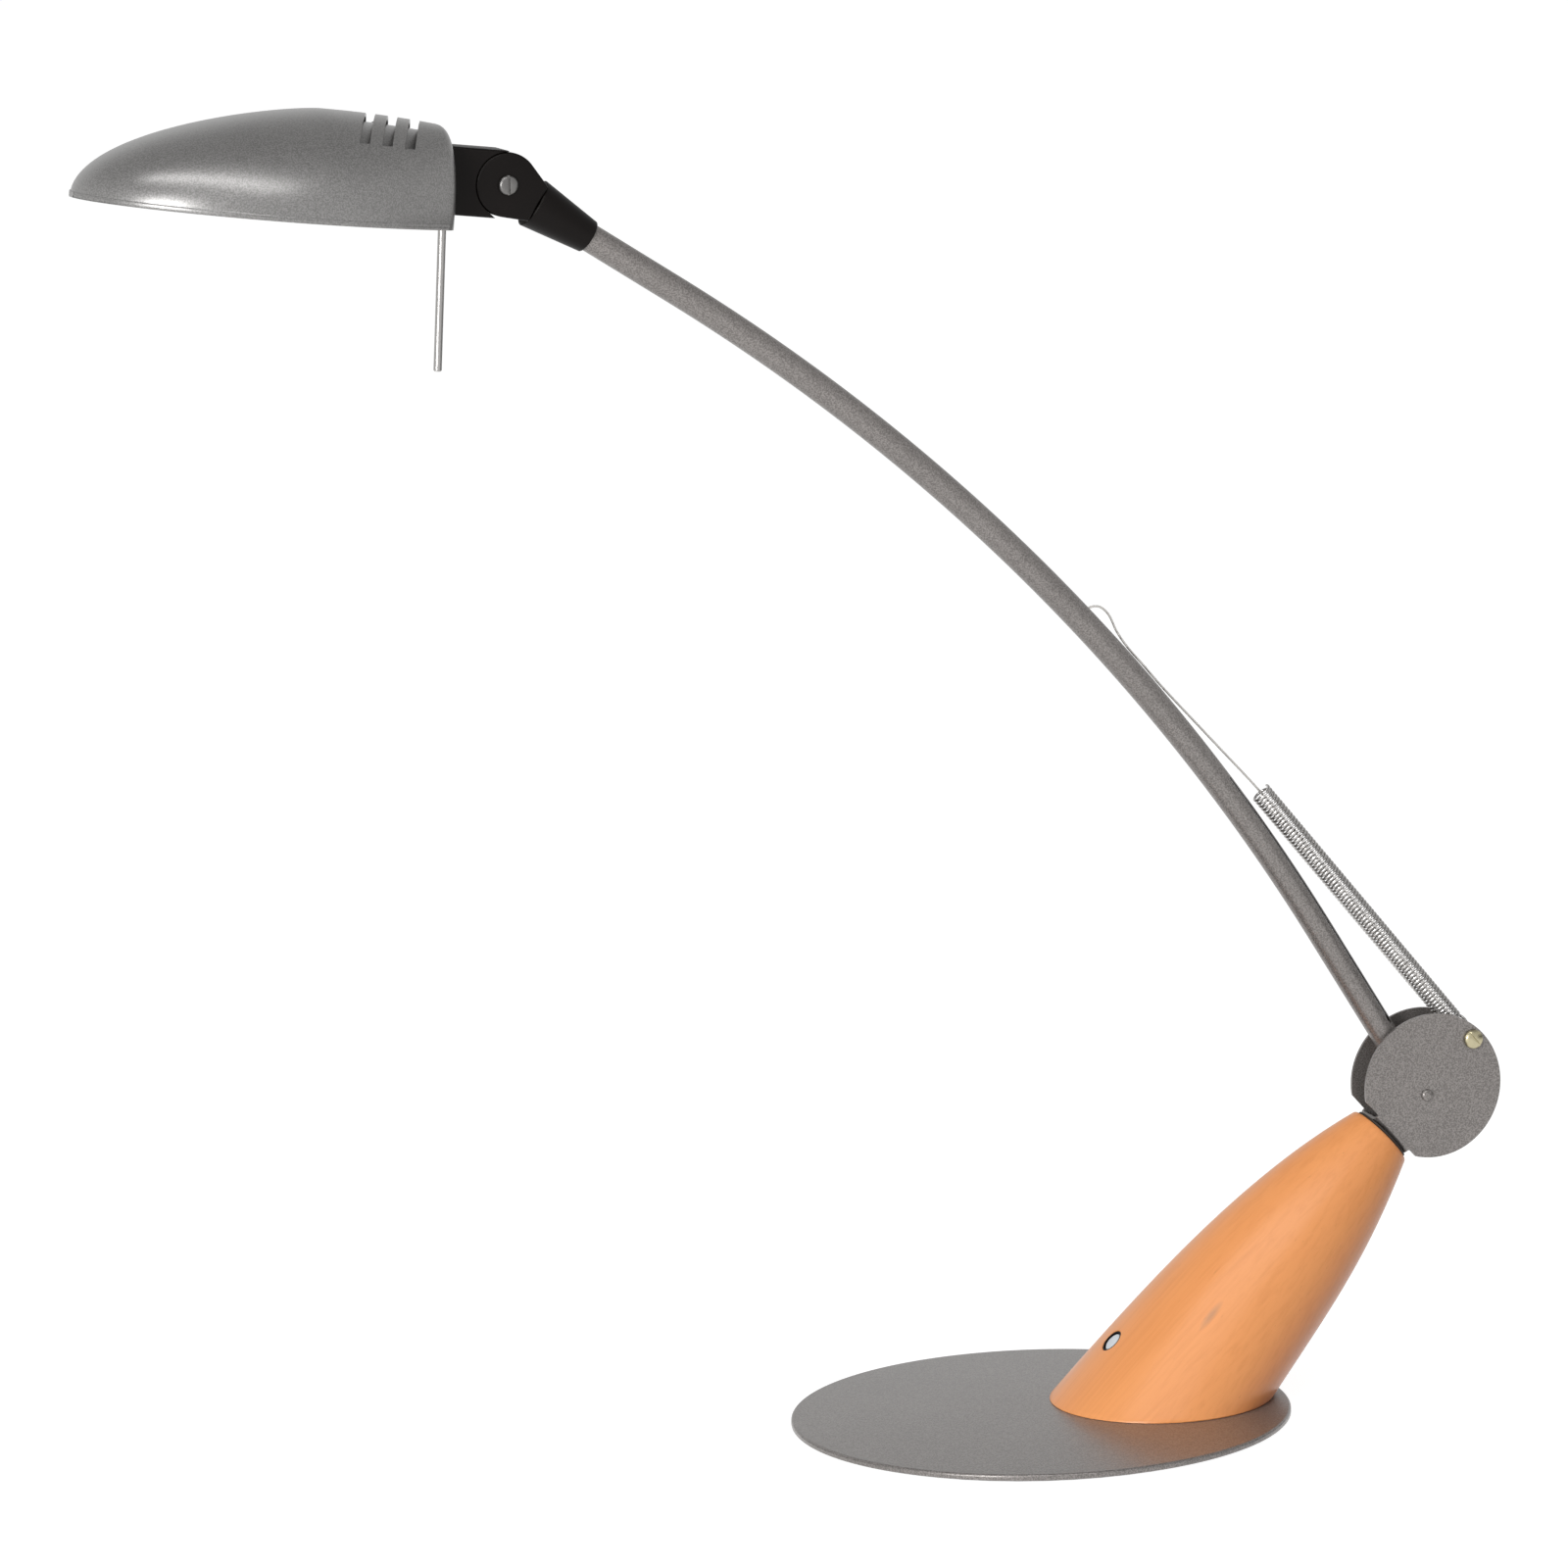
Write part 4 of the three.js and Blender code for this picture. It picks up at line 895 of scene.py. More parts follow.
def foot_station(share):
    start = Vector((FOOT_X, 0, plate_top()))
    chord = FOOT_TOP - start
    lift = Vector((-chord.z, 0, chord.x)).normalized() * 4 * FOOT_BOW * share * (1 - share)
    rest = 1 - share
    weights = (rest**3, 3 * rest**2 * share, 3 * rest * share**2, share**3)
    radius = sum(r * w for r, w in zip(FOOT_RADII, weights))
    tilt = FOOT_TILT * share * (1 + FOOT_TILT_LEAD * rest)
    return start + chord * share + lift, radius, tilt


def foot_surface(share, turn, inset=0.0):
    middle, radius, tilt = foot_station(share)
    out = Vector((math.cos(turn) * math.cos(tilt), math.sin(turn), -math.cos(turn) * math.sin(tilt)))
    return middle + out * (radius - inset)


def foot_seat(share, turn):
    """A frame on the foot's skin whose Z points straight out of the wood."""
    up = foot_surface(share + SEAT_STEP, turn) - foot_surface(share - SEAT_STEP, turn)
    across = foot_surface(share, turn + SEAT_STEP) - foot_surface(share, turn - SEAT_STEP)
    normal = across.cross(up).normalized()
    turned = Vector((0, 0, 1)).rotation_difference(normal).to_matrix().to_4x4()
    return Matrix.Translation(foot_surface(share, turn)) @ turned


YOKE_FRAME = Matrix.Translation(FOOT_TOP) @ Matrix.Rotation(FOOT_TILT, 4, "Y")
PIVOT_POINT = YOKE_FRAME @ Vector((PIVOT[0], 0, PIVOT[1]))
ANCHOR_POINT = YOKE_FRAME @ Vector((ANCHOR[0], 0, ANCHOR[1]))
SPRING_FRAME = Matrix.Translation(ANCHOR_POINT) @ Matrix.Rotation(-SPRING_LEAN, 4, "Y")


def arm_lean(distance):
    bent = min(max(distance - ARM_LOWER, 0), ARM_BOW_RADIUS * ARM_BOW)
    return ARM_LEAN - bent / ARM_BOW_RADIUS


def arm_point(distance, side=0.0):
    """A place on the arm's middle line, or side out of its back."""
    lean = arm_lean(distance)
    straight = min(distance, ARM_LOWER)
    rest = max(distance - ARM_LOWER - ARM_BOW_RADIUS * ARM_BOW, 0)
    x = -math.cos(ARM_LEAN) * straight - math.cos(lean) * rest
    x -= ARM_BOW_RADIUS * (math.sin(ARM_LEAN) - math.sin(lean))
    z = math.sin(ARM_LEAN) * straight + math.sin(lean) * rest
    z += ARM_BOW_RADIUS * (math.cos(lean) - math.cos(ARM_LEAN))
    return PIVOT_POINT + Vector((x + math.sin(lean) * side, 0, z + math.cos(lean) * side))


ARM_MOUTH = ARM_LOWER + ARM_BOW_RADIUS * ARM_BOW + ARM_UPPER
KNUCKLE = arm_point(ARM_MOUTH + KNUCKLE_REACH)
NECK_FRAME = Matrix.Translation(KNUCKLE) @ Matrix.Rotation(NECK_TILT, 4, "Y")
SHADE_FRAME = Matrix.Translation(KNUCKLE) @ Matrix.Rotation(SHADE_TILT, 4, "Y")


def along_arm(name, section, start, end, steps):
    """A section of (towards the camera side, out of the back) pairs swept up the arm."""
    rings = []
    for i in range(steps + 1):
        distance = start + (end - start) * i / steps
        lean = arm_lean(distance)
        out = Vector((math.sin(lean), 0, math.cos(lean)))
        middle = arm_point(distance)
        rings.append([middle + Vector((0, -a, 0)) + out * b for a, b in section])
    return loft(name, rings)


def circle(radius, sides):
    turns = (i / sides * math.tau for i in range(sides))
    return [(radius * math.cos(t), radius * math.sin(t)) for t in turns]


def arc(x, z, radius, start, end, steps):
    turns = [start + (end - start) * i / steps for i in range(steps + 1)]
    return [(x + radius * math.cos(t), z + radius * math.sin(t)) for t in turns]


def dome(radius, start, height, steps):
    """A domed head's outline, from its rim at start to just short of its top."""
    turns = (i * QUARTER / steps for i in range(steps))
    return [(radius * math.cos(t), start + height * math.sin(t)) for t in turns]


# Pieces


def screw_cutters():
    """Holes for the countersunk screws, which stand on their heads."""
    bottom, shank = SCREW_BOTTOM - CLEARANCE, SCREW_SHANK + CLEARANCE
    end = bottom + SCREW_LENGTH
    outline = [(0, bottom), (SCREW_HEAD + CLEARANCE, bottom), (shank, SCREW_HEAD_TOP)]
    outline += [(shank, end), (0, end + SCREW_POINT + 2 * CLEARANCE)]
    cutters = []
    for i in range(SCREW_COUNT):
        turn = i / SCREW_COUNT * math.tau
        x, y = FOOT_X + SCREW_CIRCLE * math.cos(turn), SCREW_CIRCLE * math.sin(turn)
        cutters.append(lathe("cutter", outline, Matrix.Translation((x, y, 0)), SCREW_ROUND))
    return cutters


def make_base():
    base = bpy.context.scene.lamp_base
    radius, low, top = base.plate_radius / MM, base.pad_thickness / MM, plate_top()
    edge = base.edge_round / MM
    outline = [(0, low), (radius - LOWER_EDGE, low), (radius, low + LOWER_EDGE)]
    outline += arc(radius - edge, top - edge, edge, 0, QUARTER, EDGE_STEPS)
    plate = lathe("base_plate", [*outline, (0, top)], sides=FINEST_ROUND)
    combine(plate, "DIFFERENCE", *screw_cutters())
    finish_piece(plate, "lamp_base_plate", "base", "grey_metallic_paint", paint(), "base_plate")
    dress("base_pad", rubber())
    for i in range(SCREW_COUNT):
        dress(f"base_screw_{i + 1}", steel())


def make_foot():
    middle = [(i / FOOT_ROWS, 0) for i in range(1, FOOT_ROWS)]
    turns = [k / FINE_ROUND * math.tau for k in range(FINE_ROUND)]
    rings = []
    for share, inset in (*FOOT_LOWER_EDGE, *middle, *FOOT_UPPER_EDGE):
        rings.append([foot_surface(share, turn, inset) for turn in turns])
    foot = loft("wooden_foot", rings)
    base = bpy.context.scene.lamp_base
    start = Vector((FOOT_X - OVERRUN, 0, plate_top() - OVERRUN))
    line = FOOT_TOP + Vector((OVERRUN, 0, OVERRUN)) - start
    lean = Vector((0, 0, 1)).rotation_difference(line.normalized()).to_matrix().to_4x4()
    seat = foot_seat(SWITCH_SHARE, SWITCH_TURN)
    hole = base.button_radius / MM + CLEARANCE + SHADOW_COLLAR_WALL
    rim = [(hole + out, up) for out, up in SWITCH_MOUTH]
    mouth = [(0, rim[0][1]), *rim, (0, rim[-1][1])]
    pocket_end = seat @ Vector((0, 0, -SWITCH_POCKET_DEPTH))
    access = Matrix.Translation((pocket_end.x, pocket_end.y, 0))
    inlet = foot_seat(INLET_SHARE, INLET_TURN)
    cutters = [
        rod(WIRE_BORE, 0, line.length, Matrix.Translation(start) @ lean),
        rod(hole, -SWITCH_POCKET_DEPTH, OVERRUN, seat),
        lathe("cutter", mouth, seat),
        rod(SWITCH_POCKET, -SWITCH_POCKET_DEPTH, -SWITCH_GUIDE_DEPTH, seat),
        rod(SWITCH_ACCESS, plate_top() - OVERRUN, pocket_end.z, access),
        rod(INLET_RADIUS + CLEARANCE, -INLET_SINK, OVERRUN + INLET_SINK, inlet),
        rod(INLET_NECK + CLEARANCE, -FOOT_RADII[0], 0, inlet),
        *screw_cutters(),
    ]
    combine(foot, "DIFFERENCE", *cutters)
    finish_piece(foot, "lamp_wooden_foot", "base", "beech", beech(), "wooden_foot")


def make_button(seat):
    base = bpy.context.scene.lamp_base
    radius, top = base.button_radius / MM, -base.button_sink / MM
    outline = [(0, top - BUTTON_LENGTH), (radius, top - BUTTON_LENGTH)]
    outline += arc(radius - BUTTON_ROUND, top - BUTTON_SHOULDER, BUTTON_ROUND, 0, QUARTER, BUTTON_STEPS)
    outline += [(radius - inwards, top - down) for inwards, down in BUTTON_CROWN]
    button = lathe("switch_button", [*outline, (0, top)], seat)
    finish_piece(button, "lamp_button", "button", "button_plastic", button_plastic(), "switch_button")
    # The black collar gives a dark ring round the button, partly the bush's own black plastic and partly
    # painted shade for the recess
    inner, outer = radius + CLEARANCE, radius + CLEARANCE + SHADOW_COLLAR_WALL - CLOSE_FIT
    low, high = -SWITCH_GUIDE_DEPTH, -SHADOW_COLLAR_SINK
    ring = [(inner, low), (outer, low), (outer, high), (inner, high), (inner, low)]
    shadow_collar = lathe("switch_shadow_collar", ring, seat)
    finish_piece(shadow_collar, "lamp_switch_collar", "base", "black_plastic", black_plastic())


def make_inlet(seat):
    floor = CLEARANCE - INLET_SINK
    inside, top = floor - INLET_LENGTH, floor + INLET_FLANGE
    outline = [(INLET_HOLE, inside), (INLET_NECK, inside), (INLET_NECK, floor), (INLET_RADIUS, floor)]
    outline += [(INLET_RADIUS, floor + INLET_FLANGE / 2), (INLET_TOP_RADIUS, top), (INLET_HOLE, top)]
    rows = softened([*outline, outline[0]], INLET_SOFTNESS)
    inlet = lathe("lead_inlet", rows, seat, FITTING_ROUND)
    finish_piece(inlet, "lamp_lead_inlet", "base", "pad_rubber", rubber(), "lead_inlet")


def make_switch():
    make_button(foot_seat(SWITCH_SHARE, SWITCH_TURN))
    dress("switch_bush", black_plastic(), edge=0.2)
    dress("switch_body", black_plastic(), edge=0.3)
    make_inlet(foot_seat(INLET_SHARE, INLET_TURN))


def yoke_section(high, top, inside):
    """The bent sheet across the yoke, as (y, z) pairs."""
    section = [(-CHEEK_OUTSIDE, high)]
    for side, start in ((-1, 2 * QUARTER), (1, 3 * QUARTER)):
        y = side * (CHEEK_OUTSIDE - BEND)
        section += arc(y, WEB_BOTTOM + BEND, BEND, start, start + QUARTER, OUTER_BEND_STEPS)
    section += [(CHEEK_OUTSIDE, high), (CHEEK_INSIDE, high)]
    for side, start in ((1, 4 * QUARTER), (-1, 3 * QUARTER)):
        y = side * (CHEEK_INSIDE - inside)
        section += arc(y, top + inside, inside, start, start - QUARTER, INNER_BEND_STEPS)
    return [*section, (-CHEEK_INSIDE, high)]


def slotted_screw(name, outline, slot_floor, place, slot_turn, edge):
    """A turned screw with a driver's slot, which slot_turn turns about the axis."""
    screw = lathe(name, outline, place)
    half, top = DRIVER_SLOT / 2, outline[-1][1] + OVERRUN
    across = place @ Matrix.Rotation(slot_turn, 4, "Z")
    slot = block(-DRIVER_REACH, DRIVER_REACH, -half, half, slot_floor, top, across)
    combine(screw, "DIFFERENCE", slot)
    return round_edges(screw, edge, SMALL_EDGE_ANGLE, segments=2)


def make_yoke():
    high = CHEEK_Z + CHEEK_RADIUS + OVERRUN
    long = CHEEK_RADIUS + OVERRUN
    reach = CHEEK_OUTSIDE + OVERRUN
    inside = BEND - SHEET
    top = WEB_BOTTOM + SHEET
    section = yoke_section(high, top, inside)

    def channel():
        return loft("yoke", [[(x, y, z) for y, z in section] for x in (-long, long)], YOKE_FRAME)

    disc = YOKE_FRAME @ Matrix.Translation((CHEEK_X, 0, CHEEK_Z)) @ ALONG_Y
    cheek = rod(CHEEK_RADIUS, -reach, reach, disc, FINEST_ROUND)
    above = block(-long, long, -long, long, top + inside, high, YOKE_FRAME)
    cheeks = combine(channel(), "INTERSECT", cheek, above)
    middle = block(-WEB_HALF, WEB_HALF, -reach, reach, WEB_BOTTOM - OVERRUN, PIVOT[1], YOKE_FRAME)
    web = combine(channel(), "INTERSECT", middle)
    yoke = combine(cheeks, "UNION", web)
    pivot = YOKE_FRAME @ Matrix.Translation((PIVOT[0], 0, PIVOT[1])) @ ALONG_Y
    anchor = YOKE_FRAME @ Matrix.Translation((ANCHOR[0], 0, ANCHOR[1])) @ ALONG_Y
    holes = [
        rod(SWIVEL_HOLE, WEB_BOTTOM - OVERRUN, top + OVERRUN, YOKE_FRAME),
        rod(RIVET_SHANK + CLEARANCE, -reach, reach, pivot),
        rod(SHANK + CLEARANCE, -reach, reach, anchor),
    ]
    combine(yoke, "DIFFERENCE", *holes)
    round_edges(yoke, YOKE_EDGE)
    finish_piece(yoke, "lamp_yoke", "yoke_body", "grey_metallic_paint", paint(), "yoke")

    head = CHEEK_OUTSIDE + CLEARANCE
    upper = dome(RIVET_HEAD, head, RIVET_DOME, RIVET_STEPS)
    lower = [(r, -h) for r, h in upper][::-1]
    outline = [(0, -head - RIVET_DOME), *lower, (RIVET_SHANK, -head), (RIVET_SHANK, head)]
    outline += [*upper, (0, head + RIVET_DOME)]
    rivet = lathe("pivot_rivet", outline, pivot, FITTING_ROUND)
    finish_piece(rivet, "lamp_pivot_rivet", "yoke_body", "grey_metallic_paint", paint(), "pivot_rivet")

    end = CHEEK_OUTSIDE + 2 * CLEARANCE + SPRING_SCREW_TAIL
    outline = [(0, -end), (SHANK_END, -end), (SHANK, -end + SPRING_SCREW_TIP), (SHANK, head)]
    outline += [(r, head + h) for r, h in SPRING_SCREW_SEAT]
    rise = SPRING_SCREW_TOP - SPRING_SCREW_SIDE
    outline += dome(SPRING_SCREW_SEAT[-1][0], head + SPRING_SCREW_SIDE, rise, SPRING_SCREW_STEPS)
    outline.append((0, head + SPRING_SCREW_TOP))
    floor = head + SPRING_SCREW_TOP / 2
    screw = slotted_screw("spring_screw", outline, floor, anchor, 0, SPRING_SCREW_SOFTNESS)
    finish_piece(screw, "lamp_spring_screw", "yoke_body", "yellow_zinc", zinc(), "spring_screw")
    dress("spring_nut", zinc(), edge=0.2)
    dress("spring_roller", steel(), edge=0.15)
    dress("swivel_washer", fibre())
    dress("swivel_tube", steel(), edge=0.2)
    dress("swivel_spring_washer", steel(), edge=0.1)
    dress("swivel_nut", steel(), edge=0.25)


def make_arm():
    arm = bpy.context.scene.lamp_arm
    outer = arm.tube_radius / MM
    inner = outer - arm.tube_wall / MM
    end = ARM_MOUTH + ARM_INSERTION
    pipe = along_arm("arm_tube", circle(outer, TUBE_ROUND), ARM_START, end, ARM_STEPS)
    bore_ends = (ARM_START - SHORT_OVERRUN, end + SHORT_OVERRUN)
    bore = along_arm("cutter", circle(inner, SMALL_ROUND), *bore_ends, ARM_STEPS)
    half = SLOT_WIDTH / 2
    section = []
    for across, out in ((-SLOT_REACH, -half), (SLOT_REACH, -half), (SLOT_REACH, half), (-SLOT_REACH, half)):
        turned_across = across * math.cos(SLOT_SKEW) - out * math.sin(SLOT_SKEW)
        turned_out = across * math.sin(SLOT_SKEW) + out * math.cos(SLOT_SKEW)
        section.append((turned_across, SLOT_OFFSET + turned_out))
    slot = along_arm("cutter", section, *SLOT, SLOT_STEPS)
    at_hole = Matrix.Translation(arm_point(CABLE_HOLE)) @ Matrix.Rotation(arm_lean(CABLE_HOLE), 4, "Y")
    hole = rod(CABLE_HOLE_RADIUS, 0, outer + OVERRUN, at_hole, HOLE_ROUND)
    combine(pipe, "DIFFERENCE", bore, slot, hole)
    finish_piece(pipe, "lamp_arm_tube", "arm", "grey_metallic_paint", paint(), "arm_tube")
    dress("arm_lug", steel(), edge=0.2)
    for name in ("friction_washer_1", "friction_washer_2"):
        dress(name, fibre())


def from_spring(height):
    return SPRING_FRAME @ Vector((0, 0, height))


def make_cable():
    arm = bpy.context.scene.lamp_arm
    radius = arm.tube_radius / MM
    beside = radius + CLEARANCE + arm.cable_radius / MM
    touch = CABLE_HOLE - CABLE_LOOP
    leave = touch - CABLE_TOUCH
    points = [
        arm_point(CABLE_HOLE, 0),
        arm_point(CABLE_HOLE, radius),
        arm_point(CABLE_HOLE - CABLE_LOOP / 8, radius + CABLE_LOOP_HEIGHT * CABLE_LOOP_SHOULDER),
        arm_point(CABLE_HOLE - CABLE_LOOP / 3, radius + CABLE_LOOP_HEIGHT),
        arm_point(CABLE_HOLE - 2 * CABLE_LOOP / 3, beside + CABLE_LOOP_HEIGHT / 4),
        arm_point(touch, beside),
        arm_point((touch + leave) / 2, beside),
        arm_point(leave, beside),
        from_spring(SPRING_TOP).lerp(arm_point(leave, beside), 0.5),
        from_spring(SPRING_TOP),
        from_spring(SPRING_TOP - CABLE_TAIL / 2),
        from_spring(SPRING_TOP - CABLE_TAIL),
    ]
    path = smooth_through(points, CABLE_STEPS)
    coat = tube("tension_cable", path, arm.cable_radius / MM, CABLE_ROUND)
    finish_piece(coat, "lamp_cable_coat", "arm", "steel", cable_coat(), "tension_cable")
    core = tube("cable_core", path, arm.core_radius / MM, WIRE_ROUND)
    finish_piece(core, "lamp_cable_core", "arm", "steel", steel())
    dress("cable_bead", steel())
    dress("cable_ferrule", steel())


def make_spring():
    arm = bpy.context.scene.lamp_arm
    coil, wire, curls = arm.coil_radius / MM, arm.wire_radius / MM, arm.curls
    pitch = (SPRING_TOP - SPRING_START) / curls
    start, grow = SPRING_START - pitch / 4, pitch * (curls - 1) / curls

    def on_coil(step):
        turn = step / CURL_STEPS * math.tau
        return Vector((coil * math.cos(turn), coil * math.sin(turn), start + step / CURL_STEPS * grow))

    hook = ROLLER_RADIUS + CLEARANCE + wire
    path = []
    for i in range(HOOK_STEPS):
        turn = (i / HOOK_STEPS - 1) * HOOK_TURN
        path.append(Vector((hook * math.cos(turn), 0, hook * math.sin(turn))))
    rise = SPRING_START - pitch
    lead = [Vector((hook, 0, 0)), Vector((hook, 0, rise / 2)), Vector((coil, -wire, rise))]
    lead += [on_coil(step) for step in LEAD_IN]
    # The last two spans only steer the curve, and the coil's own points take their place
    path += smooth_through(lead, LEAD_STEPS)[: -2 * LEAD_STEPS]
    path += [on_coil(step) for step in range(LEAD_IN[0] + 1, curls * CURL_STEPS + 1)]
    for _ in range(2):
        path.append(path[-1] + Vector((0, wire, 0)))
    spring = tube("balance_spring", path, wire, WIRE_ROUND, SPRING_FRAME)
    finish_piece(spring, "lamp_balance_spring", "spring", "steel", steel(), "balance_spring")


def neck_outline(grow):
    end, half, knuckle = SLEEVE_AT - CLEARANCE + grow, NECK_END_HALF + grow, KNUCKLE_RADIUS + grow
    tangent = math.atan2(half, end) + math.acos(knuckle / math.hypot(end, half))
    return [(end, -half), (end, half), *arc(0, 0, knuckle, tangent, math.tau - tangent, NECK_STEPS)]


def make_sleeve(bulkhead):
    cavity_end = bulkhead + NUT_HEIGHT + 3 * CLEARANCE + NUT_ROOM
    outline = [
        (SLEEVE_BORE, SLEEVE_AT),
        (SLEEVE_RADIUS - SLEEVE_EDGE, SLEEVE_AT),
        (SLEEVE_RADIUS, SLEEVE_AT + SLEEVE_EDGE),
        (SLEEVE_END_RADIUS, KNUCKLE_REACH - SLEEVE_END_EDGE),
        (SLEEVE_END_RADIUS - SLEEVE_END_EDGE, KNUCKLE_REACH),
        (SLEEVE_TUBE_BORE, KNUCKLE_REACH),
        (SLEEVE_TUBE_BORE, cavity_end),
        (SLEEVE_NUT_BORE, cavity_end),
        (SLEEVE_NUT_BORE, bulkhead),
        (SLEEVE_BORE, bulkhead),
        (SLEEVE_BORE, SLEEVE_AT),
    ]
    sleeve = lathe("arm_sleeve", outline, NECK_FRAME @ ALONG_X, SLEEVE_ROUND)
    round_edges(sleeve, SLEEVE_SOFTNESS, SMALL_EDGE_ANGLE, segments=2)
    finish_piece(sleeve, "lamp_arm_sleeve", "arm", "black_plastic", black_plastic(), "arm_sleeve")


def make_neck(bulkhead):
    neck = prism("neck", neck_outline(0), NECK_HALF, NECK_FRAME, JOINT_EDGE)
    low, thread = SLEEVE_AT - CLEARANCE - OVERRUN, bulkhead + 2 * CLEARANCE + NUT_HEIGHT
    outline = [(0, low), (NECK_STUB, low), (NECK_STUB, bulkhead - CLEARANCE)]
    outline += [(NECK_THREAD, bulkhead), (NECK_THREAD, thread), (0, thread)]
    combine(neck, "UNION", lathe("cutter", outline, NECK_FRAME @ ALONG_X, FITTING_ROUND))
    across = NECK_FRAME @ ALONG_Y
    cutters = [
        rod(TONGUE_RADIUS + 2 * CLEARANCE, -FORK_HALF, FORK_HALF, across, ROUND),
        block(-FORK_REACH, 0, -FORK_HALF, FORK_HALF, -FORK_REACH, FORK_REACH, NECK_FRAME),
        rod(SHANK + CLEARANCE, -PIN_REACH, PIN_REACH, across),
    ]
    combine(neck, "DIFFERENCE", *cutters)
    round_edges(neck, NECK_SOFTNESS, JOINT_EDGE_ANGLE, segments=2)
    finish_piece(neck, "lamp_neck", "neck_body", "black_plastic", black_plastic(), "neck")

    head = NECK_HALF + CLEARANCE
    end = head + KNUCKLE_SCREW_TAIL
    outline = [(0, -end), (SHANK_END, -end), (SHANK, -end + KNUCKLE_SCREW_TIP), (SHANK, head)]
    outline += [(r, head + h) for r, h in KNUCKLE_SCREW_HEAD]
    floor, turn = head + KNUCKLE_SLOT_FLOOR, NECK_TILT + QUARTER
    screw = slotted_screw("knuckle_screw", outline, floor, across, turn, KNUCKLE_SCREW_SOFTNESS)
    finish_piece(screw, "lamp_knuckle_screw", "neck_body", "steel", dull_steel(), "knuckle_screw")


def make_bracket():
    face = SHADE_REAR + CLEARANCE
    bracket = block(face, 0, -NECK_HALF, NECK_HALF, -BRACKET_HALF, BRACKET_HALF, SHADE_FRAME)
    round_edges(bracket, JOINT_EDGE)
    relief_frame = SHADE_FRAME @ Matrix.Rotation(NECK_TILT - SHADE_TILT + NOSE_DOWN, 4, "Y")
    across = SHADE_FRAME @ ALONG_Y
    reliefs = [
        rod(KNUCKLE_RADIUS + CLEARANCE, -PIN_REACH, PIN_REACH, across, FINE_ROUND),
        prism("cutter", neck_outline(CLEARANCE), NECK_HALF + CLEARANCE, relief_frame),
    ]
    combine(bracket, "DIFFERENCE", *reliefs)
    start = (face - KNUCKLE_RADIUS) / 2
    bridge = block(start, 0, -TONGUE_HALF, TONGUE_HALF, -TONGUE_NECK, TONGUE_NECK, SHADE_FRAME)
    combine(bracket, "UNION", bridge, rod(TONGUE_RADIUS, -TONGUE_HALF, TONGUE_HALF, across, ROUND))
    holes = [rod(SHANK + CLEARANCE, -PIN_REACH, PIN_REACH, across)]
    for y, z in BRACKET_SCREWS:
        place = SHADE_FRAME @ Matrix.Translation((0, y, z)) @ ALONG_X
        holes.append(rod(BRACKET_HOLE, face - OVERRUN, face + BRACKET_HOLE_DEPTH, place, HOLE_ROUND))
    deep = ROD_THREAD_LENGTH + CLEARANCE
    holes.append(rod(ROD_THREAD + CLEARANCE, -OVERRUN, deep, handle_place(), HOLE_ROUND))
    combine(bracket, "DIFFERENCE", *holes)
    round_edges(bracket, BRACKET_SOFTNESS, JOINT_EDGE_ANGLE, segments=2)
    finish_piece(bracket, "lamp_head_bracket", "head", "black_plastic", black_plastic(), "head_bracket")


def make_joint():
    bulkhead = SLEEVE_AT + BULKHEAD
    make_sleeve(bulkhead)
    make_neck(bulkhead)
    for name in ("knuckle_nut", "neck_nut"):
        dress(name, steel(), edge=0.2)
    for name in ("knuckle_washer_1", "knuckle_washer_2"):
        dress(name, fibre())
    make_bracket()


def shade_form(inset, height):
    shade = bpy.context.scene.lamp_shade
    return {
        "inset": inset,
        "height": height - inset,
        "length": shade.shade_length / MM - 2 * inset,
        "width": shade.half_width / MM - inset,
        "rear": shade.rear_half_width / MM - inset,
        "round": max(SHADE_REAR_ROUND - inset, CLEARANCE),
    }


def shade_size(x, form):
    """Half height and half width of the shade at x, measured forwards from its rear."""
    crest = SHADE_CREST - form["inset"]
    widest = SHADE_WIDEST - form["inset"]
    height, width = form["height"], form["width"]
    if x > crest:
        share = (x - crest) / (form["length"] - crest)
        height *= math.sqrt(max(0, 1 - share**FRONT_POWER))
    else:
        height *= 1 - REAR_FALL * (1 - x / crest) ** 2
    if x > widest:
        width *= math.sqrt(max(0, 1 - ((x - widest) / (form["length"] - widest)) ** 2))
    else:
        width -= (form["width"] - form["rear"]) * (1 - x / widest) ** 2
    if x < form["round"]:
        tuck = form["round"] - math.sqrt(form["round"] ** 2 - (form["round"] - x) ** 2)
        height -= tuck
        width -= tuck
    return height, width


def shade_stations(form, steps):
    crest = SHADE_CREST - form["inset"]
    xs = [form["round"] * (1 - math.cos(i / REAR_STEPS * QUARTER)) for i in range(REAR_STEPS)]
    middle = steps // 2
    xs += [form["round"] + (crest - form["round"]) * i / middle for i in range(middle)]
    xs += [crest + (form["length"] - crest) * math.sin(i / steps * QUARTER) for i in range(steps)]
    tip = form["length"] * NOSE_END
    xs += [(xs[-1] + tip) / 2, tip]
    return xs


